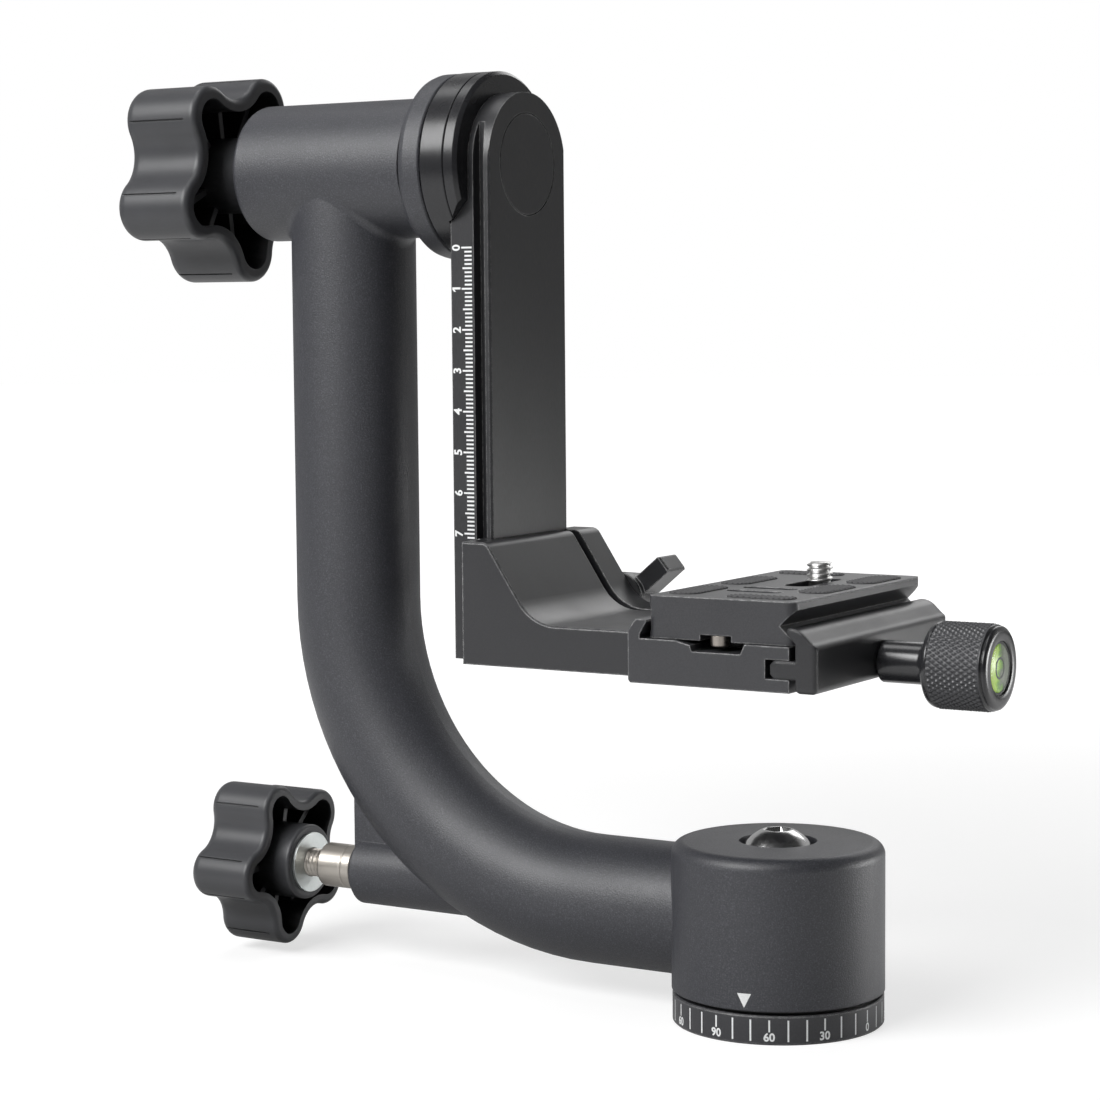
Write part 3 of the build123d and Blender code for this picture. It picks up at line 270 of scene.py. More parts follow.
def bright_plastic(name, colour, rough):
    """Plain plastic of one colour, slightly uneven."""
    material, tree, shader = new_material(name)
    fine = noise(tree, 1500, 2.0)
    tree.links.new(ramp(tree, fine, [(0.3, tuple(c * 0.94 for c in colour)), (0.7, colour)]),
                   shader.inputs["Base Color"])
    shader.inputs["Roughness"].default_value = rough
    return material


VIAL_R = 5.5


def level_fluid():
    """Fluorescent yellow-green fluid, painted bright on its -Y side and greyish on its +Y side, with a
    painted glow.
    """
    material, tree, shader = new_material("level_fluid")
    split = tree.nodes.new("ShaderNodeSeparateXYZ")
    tree.links.new(object_coordinates(tree), split.inputs["Vector"])
    # painted light: bright yellow-green on the -Y side, fading to grey on the +Y side
    across = fade(tree, split.outputs["Y"], -VIAL_R * MM, VIAL_R * MM, 0.0, 1.0)
    cloudy = fade(tree, noise(tree, 420, 4.0, 0.6), 0.35, 0.65, -0.14, 0.14)
    colour = ramp(tree, math_node(tree, "ADD", across, cloudy),
                  [(0.05, (0.62, 0.85, 0.16)), (0.32, (0.5, 0.8, 0.08)), (0.5, (0.2, 0.42, 0.05)),
                   (0.66, (0.16, 0.2, 0.12)), (0.9, (0.3, 0.33, 0.27))])
    tree.links.new(colour, shader.inputs["Base Color"])
    # painted glow: the fluid gives off a little light of its own colour
    tree.links.new(colour, shader.inputs["Emission Color"])
    shader.inputs["Emission Strength"].default_value = 0.25
    shader.inputs["Roughness"].default_value = 0.25
    return material


def level_glass():
    """Clear lens over the level."""
    material, tree, shader = new_material("level_glass")
    haze = noise(tree, 500, 2.0)
    tree.links.new(ramp(tree, haze, [(0.3, 0.03), (0.7, 0.07)]), shader.inputs["Roughness"])
    shader.inputs["Base Color"].default_value = (0.9, 0.95, 0.88, 1)
    shader.inputs["Alpha"].default_value = 0.16
    shader.inputs["Coat Weight"].default_value = 1.0
    shader.inputs["Coat Roughness"].default_value = 0.03
    return material


MATERIALS = {
    "powder": powder_coat(),
    # the edge lightness given to some finishes stands for wear and a painted edge highlight
    "anodised": anodised(edge_wear_and_highlight=0.55),
    "anodised_rail": anodised("anodised_rail", 0.02, 0.38, (1, 1, 0.12), edge_wear_and_highlight=0.25),
    "anodised_jaw": anodised("anodised_jaw", 0.018, 0.3, (1, 1, 1), 0.0012),
    "anodised_stem": anodised("anodised_stem", 0.02, 0.2, (1, 1, 1), 0.0003),
    "anodised_disc": anodised("anodised_disc", 0.018, 0.26, (1, 1, 1), 0.0003, 0.45),
    "anodised_block": anodised("anodised_block", 0.034, 0.36, edge_wear_and_highlight=0.42),
    # painted highlight: the knurl's tone is lighter than the stem's to stand for its sparkle
    "knurled": anodised("anodised_knurled", 0.036, 0.32, (1, 1, 1), 0.00005),
    "plastic": moulded(),
    "nickel": metal("nickel", (0.54, 0.505, 0.46), 0.38, (0.05, 1, 1)),
    "stop": metal("stop_screw_steel", (0.46, 0.42, 0.38), 0.32),
    "steel": metal("steel", (0.68, 0.68, 0.68), 0.2),
    "thread": metal("thread_steel", (0.82, 0.82, 0.81), 0.34),
    "zinc": metal("zinc", (0.6, 0.63, 0.62), 0.38),
    "dark_steel": metal("dark_steel", (0.1, 0.1, 0.105), 0.4),
    "brass": metal("brass", (0.72, 0.53, 0.26), 0.3),
    "rubber": rubber(),
    "ink": printed(),
    "ring_mark": bright_plastic("ring_mark", (0.012, 0.03, 0.01), 0.4),
    "acetal": bright_plastic("acetal", (0.8, 0.8, 0.78), 0.4),
    "nylon": moulded("nylon", 0.02, 0.5),
    "fluid": level_fluid(),
    "glass": level_glass(),
}

NODE_FINISH = {
    "powder": ["main_arm"],
    "anodised": ["bracket", "bracket_jaw", "clamp_lever"],
    "anodised_jaw": ["qr_jaw"],
    "anodised_block": ["base_dial", "clamp_body", "plate"],
    "anodised_rail": ["swing_rail", "axis_cap"],
    "anodised_disc": ["friction_disc", "pivot_hub"],
    "plastic": ["pan_knob", "tilt_knob"],
    "nickel": ["tilt_lock_screw", "pan_lock_bush", "tilt_lock_bush"],
    "stop": ["stop_screws"],
    "steel": ["tripod_bush", "pan_washer", "tilt_bearing_outer_races", "bearing_circlip",
              "pan_lock_rod", "pivot_shaft", "tilt_bearing_inner_races", "pivot_bolt", "clamp_bolts",
              "qr_guide_rods", "qr_screw"],
    "dark_steel": ["jaw_pins", "jaw_spring", "lever_screw", "qr_springs"],
    "zinc": ["pan_knob_washer", "tilt_knob_washer"],
    "brass": ["pan_lock_plug", "tilt_lock_plug"],
    "acetal": ["pan_bush"],
    "rubber": ["plate_pads"],
    "nylon": ["pan_glide_ring", "bearing_spacer", "lever_washer", "screw_retainer", "level_cup"],
}


def finish_nodes():
    """Gives each node that no piece replaces its material."""
    for key, names in NODE_FINISH.items():
        for name in names:
            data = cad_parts[name].data
            data.materials.clear()
            data.materials.append(MATERIALS[key])


# ---- mesh helpers, in millimetres -----------------------------------------------------

AROUND = 64
AXIS_R = 0.02
GLYPH_WEIGHT = 0.03


def piece(name, verts, faces, finish, body, smooth=True):
    """A new mesh from millimetre points, riding on a body."""
    mesh = bpy.data.meshes.new(name)
    mesh.from_pydata([tuple(c * MM for c in v) for v in verts], [], faces)
    mesh.validate()
    mesh.update()
    for polygon in mesh.polygons:
        polygon.use_smooth = smooth
    mesh.materials.append(MATERIALS[finish])
    made = bpy.data.objects.new(name, mesh)
    bpy.context.scene.collection.objects.link(made)
    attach(made, body)
    return made


def ring_faces(rings, steps, capped=True):
    """Faces between rings of steps points each, with both ends closed when capped."""
    faces = []
    for ring in range(rings - 1):
        a, b = ring * steps, (ring + 1) * steps
        for i in range(steps):
            j = (i + 1) % steps
            faces.append((a + i, a + j, b + j, b + i))
    if capped:
        faces.append(tuple(reversed(range(steps))))
        faces.append(tuple(range((rings - 1) * steps, rings * steps)))
    return faces


def lathe_x(stations, steps, z, radius_at=None, capped=False):
    """Turned form about a level line along X; radius_at(x, r, angle) may shape each point."""
    verts = []
    for x, r in stations:
        for i in range(steps):
            angle = 2 * pi * i / steps
            rr = radius_at(x, r, angle) if radius_at else r
            verts.append((x, rr * cos(angle), z + rr * sin(angle)))
    return verts, ring_faces(len(stations), steps, capped)


def span(ends, count):
    """count + 1 evenly spaced values from one end to the other."""
    low, high = ends
    return [low + (high - low) * i / count for i in range(count + 1)]


def glyph_mesh(text, size):
    """(points, faces) of a number drawn flat, centred on its own middle, sized by its height."""
    curve = bpy.data.curves.new("glyph", "FONT")
    curve.body = text
    curve.offset = GLYPH_WEIGHT
    curve.resolution_u = 3
    helper = bpy.data.objects.new("glyph", curve)
    bpy.context.scene.collection.objects.link(helper)
    bpy.context.view_layer.update()
    mesh = bpy.data.meshes.new_from_object(helper)
    points = [(v.co.x, v.co.y) for v in mesh.vertices]
    faces = [tuple(p.vertices) for p in mesh.polygons]
    bpy.data.objects.remove(helper)
    bpy.data.curves.remove(curve)
    bpy.data.meshes.remove(mesh)
    across = [x for x, _ in points]
    upward = [y for _, y in points]
    k = size / (max(upward) - min(upward))
    middle_x = (min(across) + max(across)) / 2
    middle_y = (min(upward) + max(upward)) / 2
    return [((x - middle_x) * k, (y - middle_y) * k) for x, y in points], faces


def numeral_one(size):
    """A 1 with a short flag, in the same form as glyph_mesh gives."""
    stem = [(-0.06, -0.5), (0.16, -0.5), (0.16, 0.5), (-0.06, 0.5)]
    flag = [(-0.3, 0.3), (-0.3, 0.08), (-0.06, 0.24)]
    return [(x * size, y * size) for x, y in stem + flag], [(0, 1, 2, 3, 6), (6, 3, 4, 5)]


class Ink:
    """Collects flat printed marks, placed by a function from the sheet to the surface."""

    def __init__(self, place):
        self.place = place
        self.verts = []
        self.faces = []

    def add(self, points, faces):
        """Places a flat mesh."""
        start = len(self.verts)
        self.verts += [self.place(u, v) for u, v in points]
        self.faces += [tuple(start + i for i in face) for face in faces]

    def bar(self, u0, u1, v0, v1):
        """Places an upright rectangle."""
        self.add([(u0, v0), (u1, v0), (u1, v1), (u0, v1)], [(0, 1, 2, 3)])


# ---- printed marks --------------------------------------------------------------------

INK_LIFT = 0.02

DIAL_ZERO = 82.3
DIAL_STEP = 10
DIAL_LABEL_EVERY = 3
DIAL_LABELS = ("0", "30", "60", "90", "60", "30")
DIAL_TICK = (0.9, 5.95)
DIAL_LABEL_TICK = (3.15, 5.95)
DIAL_DIGIT_Z = 1.95
DIAL_DIGIT = 2.1
DIAL_WIDTH = 0.42
INDEX_TURN = 9.0
INDEX_Z = (8.6, 12.0)
INDEX_HALF = 1.72
INDEX_STRIPS = 16


def round_the_base(radius):
    """Sheet to cylinder: u is the arc from -Y towards +X, v the height."""
    def place(u, v):
        angle = u / radius
        reach = radius + INK_LIFT
        return (reach * sin(angle), -reach * cos(angle), v)
    return place


def dial_marks():
    """Degree marks round the base, numbered at every third."""
    ink = Ink(round_the_base(BASE_R))
    for step in range(360 // DIAL_STEP):
        u = radians(DIAL_ZERO - step * DIAL_STEP) * BASE_R
        labelled = step % DIAL_LABEL_EVERY == 0
        low, high = DIAL_LABEL_TICK if labelled else DIAL_TICK
        ink.bar(u - DIAL_WIDTH / 2, u + DIAL_WIDTH / 2, low, high)
        if labelled:
            label = DIAL_LABELS[step // DIAL_LABEL_EVERY % len(DIAL_LABELS)]
            points, faces = glyph_mesh(label, DIAL_DIGIT)
            ink.add([(u + x, DIAL_DIGIT_Z + y) for x, y in points], faces)
    piece("dial_marks", ink.verts, ink.faces, "ink", "pan_base", False)


def index_mark():
    """Pointer above the dial, on the arm's housing, in strips that follow the curve."""
    ink = Ink(round_the_base(HOUSING_R))
    u = radians(INDEX_TURN) * HOUSING_R
    low, high = INDEX_Z
    points = [(u - INDEX_HALF, high)]
    for offset in span((-INDEX_HALF, INDEX_HALF), INDEX_STRIPS)[1:-1]:
        points += [(u + offset, low + (high - low) * abs(offset) / INDEX_HALF), (u + offset, high)]
    points.append((u + INDEX_HALF, high))
    last = len(points) - 1
    faces = [(0, 1, 2)]
    faces += [(k, k + 2, k + 3, k + 1) for k in range(1, last - 2, 2)]
    faces.append((last - 2, last, last - 1))
    ink.add(points, faces)
    piece("index_mark", ink.verts, ink.faces, "ink", "arm", False)


SCALE_EDGE_X = -74.2
SCALE_ZERO_Z = 185.68
SCALE_MM = 71
SCALE_TICKS = {0: 3.0, 5: 2.7}
SCALE_TICK = 2.1
SCALE_THICK = 0.44
SCALE_DIGIT = 2.35
SCALE_DIGIT_X = -78.76


def rail_scale():
    """Centimetre scale down the rail's back plate, its numbers lying on their side."""
    ink = Ink(lambda u, v: (u, -RAIL_HALF - INK_LIFT, v))
    for mm in range(SCALE_MM + 1):
        z = SCALE_ZERO_Z - mm
        length = SCALE_TICKS.get(mm % 10, SCALE_TICK)
        ink.bar(SCALE_EDGE_X - length, SCALE_EDGE_X, z - SCALE_THICK / 2, z + SCALE_THICK / 2)
        if mm % 10 == 0:
            number = str(mm // 10)
            points, faces = numeral_one(SCALE_DIGIT) if number == "1" else glyph_mesh(number, SCALE_DIGIT)
            ink.add([(SCALE_DIGIT_X - y, z + x) for x, y in points], faces)
    piece("rail_scale", ink.verts, ink.faces, "ink", "swing_arm", False)


# ---- quick release knob ---------------------------------------------------------------

KNURL = (42.5, 55.0)
KNURL_FINISH = (42.4, 55.3)
KNURL_R = 10.2
KNURL_DEPTH = 0.5
KNURL_COUNT = 47
KNURL_PITCH_X = 2.05
KNURL_STEPS = 8
KNURL_SHARP = 1.35
KNURL_RUN_OUT = 0.25


def knurl_radius(x, r, angle):
    """Diamond pyramids between two families of helical grooves."""
    x0, x1 = KNURL
    if x <= x0 or x >= x1:
        return r
    around = KNURL_COUNT * angle / (2 * pi)
    along = x / KNURL_PITCH_X
    ridges = []
    for lean in (1, -1):
        phase = (around + lean * along) % 1.0
        ridges.append(1 - abs(2 * phase - 1))
    edge = min(1.0, (x - x0) / KNURL_RUN_OUT, (x1 - x) / KNURL_RUN_OUT)
    return r - KNURL_DEPTH * edge * (1 - min(1.0, KNURL_SHARP * min(ridges)))


def qr_knob():
    """Stem, knurled grip, grooved shoulder and the rounded ring that holds the level."""
    stem = [(27.85, 4.6), (27.95, 4.8), (28.2, 4.95), (28.3, 4.95), (38.1, 4.95)]
    flare = [(38.3, 4.96), (38.9, 5.15), (39.5, 5.7), (40.1, 6.7), (40.5, 8.0), (40.75, 9.0)]
    shoulder = [(41.05, 9.55), (41.5, 9.85), (42.1, 10.0), (42.3, 10.0), (42.45, 9.8)]
    rows = int(ceil((KNURL[1] - KNURL[0]) / KNURL_PITCH_X * KNURL_STEPS))
    grip = [(x, KNURL_R) for x in span(KNURL, rows)[1:-1]]
    groove = [(55.02, 9.8), (55.1, 9.95), (55.4, 10.0), (55.6, 9.85), (55.65, 9.45), (55.92, 9.42)]
    rim = [(55.98, 9.6), (56.15, 9.75), (56.5, 9.6), (56.8, 9.2), (56.95, 8.7), (57.0, 8.1)]
    mouth = [(57.0, 6.5), (56.92, 6.3), (56.6, 6.22), (54.8, 6.22), (54.8, AXIS_R)]
    stations = stem + flare + shoulder + grip + groove + rim + mouth
    steps = KNURL_COUNT * KNURL_STEPS
    verts, faces = lathe_x(stations, steps, QR_AXIS_Z, knurl_radius, True)
    knob = piece("knurled_knob", verts, faces, "knurled", "clamp_knob")
    knob.data.materials.append(MATERIALS["anodised_stem"])
    for polygon in knob.data.polygons:
        x = polygon.center.x / MM
        if not KNURL_FINISH[0] <= x <= KNURL_FINISH[1]:
            polygon.material_index = 1
    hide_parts("qr_knob")


FLUID_DEPTH = 0.45
FLUID_R = 5.6
FLUID_THICK = 2.6
RING_MARK = (2.06, 2.6)
LENS_R = 5.66
LENS_DOME = 0.24
LENS_ROWS = 10


def level():
    """Round level: fluid close to the mouth, dark ring mark and clear lens."""
    fluid_x = QR_END_X - FLUID_DEPTH
    disc = [(fluid_x - FLUID_THICK, FLUID_R), (fluid_x - 0.2, FLUID_R),
            (fluid_x, FLUID_R - 0.3), (fluid_x + 0.02, AXIS_R)]
    verts, faces = lathe_x(disc, AROUND, QR_AXIS_Z, capped=True)
    fluid = piece("level_fluid", verts, faces, "fluid", "clamp_knob")
    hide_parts("level_vial")
    inner, outer = RING_MARK
    ring = [(fluid_x + 0.03, inner), (fluid_x + 0.1, inner + 0.04),
            (fluid_x + 0.1, outer - 0.04), (fluid_x + 0.03, outer)]
    verts, faces = lathe_x(ring, AROUND, QR_AXIS_Z)
    piece("level_ring_mark", verts, faces, "ring_mark", "clamp_knob")
    lens_x = QR_END_X - LENS_DOME - 0.04
    lens = [(fluid_x + 0.12, LENS_R), (lens_x, LENS_R)]
    lens += [(lens_x + LENS_DOME * sin(a), LENS_R * cos(a)) for a in span((0, pi / 2), LENS_ROWS)[1:-1]]
    lens.append((lens_x + LENS_DOME, AXIS_R))
    verts, faces = lathe_x(lens, AROUND, QR_AXIS_Z)
    piece("level_lens", verts, faces, "glass", "clamp_knob")


# ---- pan lock screw -------------------------------------------------------------------

PAN_LOCK_Z = 24.7
NECK = (-138.3, -133.1)
NECK_R = 3.75
NECK_PITCH = 1.25
NECK_DEPTH = 0.5
NECK_ROWS = 52
LOCK_STUD_X = -151.1
LOCK_BARREL_R = 5.75
LOCK_GROOVE_X = -125.6
LOCK_END_X = -104.0


def neck_radius(x, r, angle):
    """Thread on the short neck that shows between the washer and the barrel."""
    if not NECK[0] < x < NECK[1]:
        return r
    phase = (x / NECK_PITCH - angle / (2 * pi)) % 1.0
    return r - NECK_DEPTH * abs(2 * phase - 1)


def pan_lock_screw():
    """Stud in the knob, threaded neck, and the barrel with a fine groove that turns in the bush."""
    start, end = NECK[1], LOCK_END_X
    r = LOCK_BARREL_R
    groove = LOCK_GROOVE_X
    stud = [(LOCK_STUD_X, AXIS_R), (LOCK_STUD_X, NECK_R - 0.25), (LOCK_STUD_X + 0.3, NECK_R)]
    stud += [(x, NECK_R) for x in span(NECK, NECK_ROWS)]
    edge = [(start, r - 0.45), (start + 0.1, r - 0.3), (start + 0.3, r - 0.1), (start + 0.5, r - 0.01)]
    middle = [(start + 0.7, r), (start + 0.9, r), (groove - 0.4, r), (groove - 0.2, r)]
    ring = [(groove - 0.1, r - 0.15), (groove + 0.1, r - 0.15), (groove + 0.2, r), (groove + 0.4, r)]
    tip = [(end - 0.7, r), (end - 0.5, r), (end, r - 0.5), (end, AXIS_R)]
    verts, faces = lathe_x(stud + edge + middle + ring + tip, AROUND, PAN_LOCK_Z, neck_radius, True)
    screw = piece("pan_lock_barrel", verts, faces, "nickel", "pan_lock_knob")
    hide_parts("pan_lock_screw")


# ---- camera screw ---------------------------------------------------------------------

THREAD_PITCH = 1.27
THREAD_R = 3.175
THREAD_DEPTH = 0.68
THREAD_CREST = 0.12
THREAD_FLANK = 0.76
THREAD_END = 0.7
THREAD_AROUND = 48
THREAD_ROWS = 10
SCREW_HEAD_Z = (95.5, 98.3)
SCREW_HEAD_R = 6.3
SCREW_NECK_R = 2.6
SCREW_TOP = 109.6


def thread_radius(z, low, high, angle):
    """Radius of the camera screw's thread, with a chamfer at its upper end."""
    phase = ((z - low) / THREAD_PITCH - angle / (2 * pi)) % 1.0
    flank = min(1.0, max(0.0, (abs(2 * phase - 1) - THREAD_CREST) / THREAD_FLANK))
    end = min(1.0, (high - z) / THREAD_END)
    return THREAD_R - THREAD_DEPTH * flank - THREAD_END / 2 * (1 - end)


def camera_screw():
    """Head and neck below, and the helical thread that stands out of the plate."""
    low, high = PLATE_TOP_Z + 0.05, SCREW_TOP
    x0, y0 = CAMERA_SCREW
    under, over = SCREW_HEAD_Z
    plain = [(under, SCREW_HEAD_R), (over, SCREW_HEAD_R), (over + 0.02, SCREW_NECK_R), (low, SCREW_NECK_R)]
    rows = int(ceil((high - low) / THREAD_PITCH * THREAD_ROWS))
    rings = plain + [(z, None) for z in span((low, high - 0.02), rows)]
    verts = []
    for z, plain_r in rings:
        for i in range(THREAD_AROUND):
            angle = 2 * pi * i / THREAD_AROUND
            r = plain_r or thread_radius(z, low, high, angle)
            verts.append((x0 + r * cos(angle), y0 + r * sin(angle), z))
    faces = ring_faces(len(rings), THREAD_AROUND)
    screw = piece("camera_screw_thread", verts, faces, "thread", "mounting_screw")
    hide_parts("camera_screw")


# ---- pan screw ------------------------------------------------------------------------

PAN_SEAT_Z = 40.55
PAN_CROWN_Z = 46.1
PAN_HEAD_R = 8.7
PAN_CROWN_R = 3.75
PAN_RIM = 0.8
PAN_EDGE = 0.15
PAN_SHANK = (16.0, 4.98)
PAN_SOCKET_R = 3.4
PAN_SOCKET_DEPTH = 3.4
PAN_AROUND = 96
PAN_DOME_ROWS = 14


def pan_dome():
    """Rings of the head's dome: the arc of a ball through its rim and its flat crown."""
    rim_z = PAN_SEAT_Z + PAN_RIM
    flat = PAN_CROWN_Z - 0.04
    centre_z = (flat ** 2 + PAN_CROWN_R ** 2 - rim_z ** 2 - PAN_HEAD_R ** 2) / (2 * (flat - rim_z))
    ball = hypot(PAN_HEAD_R, rim_z - centre_z)
    return [(z, sqrt(ball ** 2 - (z - centre_z) ** 2)) for z in span((rim_z, flat), PAN_DOME_ROWS)]


def pan_screw():
    """Button head with a deep hexagon socket, and its shank below."""
    shank_z, shank_r = PAN_SHANK
    rings = [(shank_z, AXIS_R), (shank_z, shank_r), (PAN_SEAT_Z, shank_r),
             (PAN_SEAT_Z, PAN_HEAD_R - PAN_EDGE), (PAN_SEAT_Z + PAN_EDGE, PAN_HEAD_R)]
    rings += pan_dome() + [(PAN_CROWN_Z, PAN_CROWN_R - PAN_EDGE)]
    socket = [(PAN_CROWN_Z, 1.0), (PAN_CROWN_Z - 0.12, 0.97), (PAN_CROWN_Z - PAN_SOCKET_DEPTH, 0.97)]
    angles = [2 * pi * i / PAN_AROUND for i in range(PAN_AROUND)]
    verts = [(r * cos(a), r * sin(a), z) for z, r in rings for a in angles]
    for z, k in socket:
        for a in angles:
            corner = (a + pi / 12) % (pi / 3) - pi / 6
            r = k * PAN_SOCKET_R * cos(pi / 6) / cos(corner)
            verts.append((r * cos(a), r * sin(a), z))
    faces = ring_faces(len(rings) + len(socket), PAN_AROUND)
    screw = piece("pan_button_screw", verts, faces, "steel", "pan_base")
    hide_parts("pan_screw")


# ---- ribbed pads ----------------------------------------------------------------------

PLATE_MIDDLE_X = 2.6
PAD_OUTLINES = (
    ((-14.4, -6.4), (-30.0, -9.8)),
    ((-14.4, -6.4), (-4.6, 15.6)),
    ((1.6, 18.8), (-31.2, -24.6)),
)
PAD_TOP_Z = PLATE_TOP_Z + 0.2
RIB_ALONG = (sqrt(0.5), -sqrt(0.5))
RIB_ACROSS = (sqrt(0.5), sqrt(0.5))
RIB_PITCH = 1.07
RIB_WIDTH = 0.6
RIB_INSET = 0.35
RIB_REACH = 15
RIB_SHORTEST = 0.8
RIB_ROWS = 14

# (share of the rib's width, height above the pad)
RIB_SECTION = ((-0.5, -0.05), (-0.28, 0.15), (0.28, 0.15), (0.5, -0.05))


def stadium(x, y):
    """(ends of the middle line, radius) of a round-ended pad."""
    width, length = x[1] - x[0], y[1] - y[0]
    cx, cy = sum(x) / 2, sum(y) / 2
    r = min(width, length) / 2
    if length > width:
        return (cx, cy - length / 2 + r), (cx, cy + length / 2 - r), r
    return (cx - width / 2 + r, cy), (cx + width / 2 - r, cy), r


def inside_stadium(shape, px, py, inset):
    """Whether a point lies inside the pad, clear of its edge by the inset."""
    (ax, ay), (bx, by), r = shape
    dx, dy = bx - ax, by - ay
    t = max(0.0, min(1.0, ((px - ax) * dx + (py - ay) * dy) / (dx * dx + dy * dy)))
    return hypot(px - ax - t * dx, py - ay - t * dy) <= r - inset


def rib_place(origin, t, aside=0.0):
    """A place t along the rib's line through the origin, and aside of it."""
    return (origin[0] + RIB_ALONG[0] * t + RIB_ACROSS[0] * aside,
            origin[1] + RIB_ALONG[1] * t + RIB_ACROSS[1] * aside)


def rib_ends(shape, origin):
    """Where the rib's line enters and leaves the pad, or None where it misses or is too short."""
    hits = []
    for tenths in range(-10 * RIB_REACH, 10 * RIB_REACH + 1):
        px, py = rib_place(origin, tenths / 10)
        if inside_stadium(shape, px, py, RIB_INSET):
            hits.append(tenths / 10)
    return (hits[0], hits[-1]) if len(hits) >= 10 * RIB_SHORTEST else None


def rib_mesh(origin, ends, start):
    """(points, faces) of one rib with sloping flanks and closed ends; its points count from start."""
    verts = []
    for share, lift in RIB_SECTION:
        for t in ends:
            verts.append((*rib_place(origin, t, RIB_WIDTH * share), PAD_TOP_Z + lift))
    faces = [(a, a + 1, a + 3, a + 2) for a in (start, start + 2, start + 4)]
    faces.append((start, start + 2, start + 4, start + 6))
    faces.append((start + 7, start + 5, start + 3, start + 1))
    return verts, faces


def pad_ribs():
    """Diagonal ribs across each rubber pad."""
    shapes = [stadium(x, y) for x, y in PAD_OUTLINES]
    middle = 2 * PLATE_MIDDLE_X
    shapes += [((middle - a[0], -a[1]), (middle - b[0], -b[1]), r) for a, b, r in shapes]
    verts = []
    faces = []
    for shape in shapes:
        cx = (shape[0][0] + shape[1][0]) / 2
        cy = (shape[0][1] + shape[1][1]) / 2
        for row in range(-RIB_ROWS, RIB_ROWS + 1):
            origin = (cx + RIB_ACROSS[0] * row * RIB_PITCH, cy + RIB_ACROSS[1] * row * RIB_PITCH)
            ends = rib_ends(shape, origin)
            if ends:
                more_verts, more_faces = rib_mesh(origin, ends, len(verts))
                verts += more_verts
                faces += more_faces
    piece("pad_ribs", verts, faces, "rubber", "release_plate", False)


# ---- studio ---------------------------------------------------------------------------

CAMERA_AT = (302.012, -593.044, 170.968)
CAMERA_YAW = 31.650
CAMERA_PITCH = -4.953
CAMERA_ROLL = -0.485
FOCAL_PIXELS = 2805.888
FRAME_PIXELS = 1100
CENTRE_PIXELS = (549.54, 550.60)
SENSOR = 36.0
CLIP_START = 0.05


def camera():
    """Sets the camera, and gives its own right and its viewing direction."""
    yaw, pitch, roll = radians(CAMERA_YAW), radians(CAMERA_PITCH), radians(CAMERA_ROLL)
    ahead = Vector((-sin(yaw) * cos(pitch), cos(yaw) * cos(pitch), sin(pitch)))
    level_right = Vector((cos(yaw), sin(yaw), 0))
    level_up = level_right.cross(ahead)
    right = cos(roll) * level_right + sin(roll) * level_up
    up = -sin(roll) * level_right + cos(roll) * level_up
    data = bpy.data.cameras.new("camera")
    data.sensor_width = SENSOR
    data.lens = FOCAL_PIXELS / FRAME_PIXELS * SENSOR
    data.shift_x = (FRAME_PIXELS / 2 - CENTRE_PIXELS[0]) / FRAME_PIXELS
    data.shift_y = (CENTRE_PIXELS[1] - FRAME_PIXELS / 2) / FRAME_PIXELS
    data.clip_start = CLIP_START
    made = bpy.data.objects.new("camera", data)
    bpy.context.scene.collection.objects.link(made)
    turn = Matrix((right, up, -ahead)).transposed()
    made.matrix_world = Matrix.Translation(Vector(CAMERA_AT) * MM) @ turn.to_4x4()
    bpy.context.scene.camera = made
    return right, ahead


def seen_directly(tree):
    """1 for rays from the camera and through glass, and the flag of glossy rays."""
    path = tree.nodes.new("ShaderNodeLightPath")
    clear = math_node(tree, "MAXIMUM", path.outputs["Is Camera Ray"], path.outputs["Is Transmission Ray"])
    return clear, path.outputs["Is Glossy Ray"]


def distance(tree, centre=(0, 0, 0), squeeze=(1, 1, 1)):
    """Distance in the object's metres from a centre, with each axis weighted."""
    mapping = tree.nodes.new("ShaderNodeMapping")
    mapping.vector_type = "TEXTURE"
    mapping.inputs["Location"].default_value = centre
    mapping.inputs["Scale"].default_value = [1 / s for s in squeeze]
    tree.links.new(object_coordinates(tree), mapping.inputs["Vector"])
    length = tree.nodes.new("ShaderNodeVectorMath")
    length.operation = "LENGTH"
    tree.links.new(mapping.outputs["Vector"], length.inputs[0])
    return length.outputs["Value"]


FLOOR_REACH = 6.0
FLOOR_TONE = 0.4
FLOOR_RINGS = 24
FLOOR_AROUND = 96
# centre and stretch of the painted shadow under the object
FLOOR_SHADE_AT = (-0.06, -0.01, 0.0)
FLOOR_SHADE_SQUEEZE = (1.0, 2.2, 1.0)

# each of these is the start, end, low and high of a fade
FLOOR_GLOW = (0.25, 0.9, 0.66, 1.0)
FLOOR_SHEEN_END = (0.4, 1.4, 1.0, 0.0)
FLOOR_SHADE = (0.08, 0.18, 0.12, 0.6)


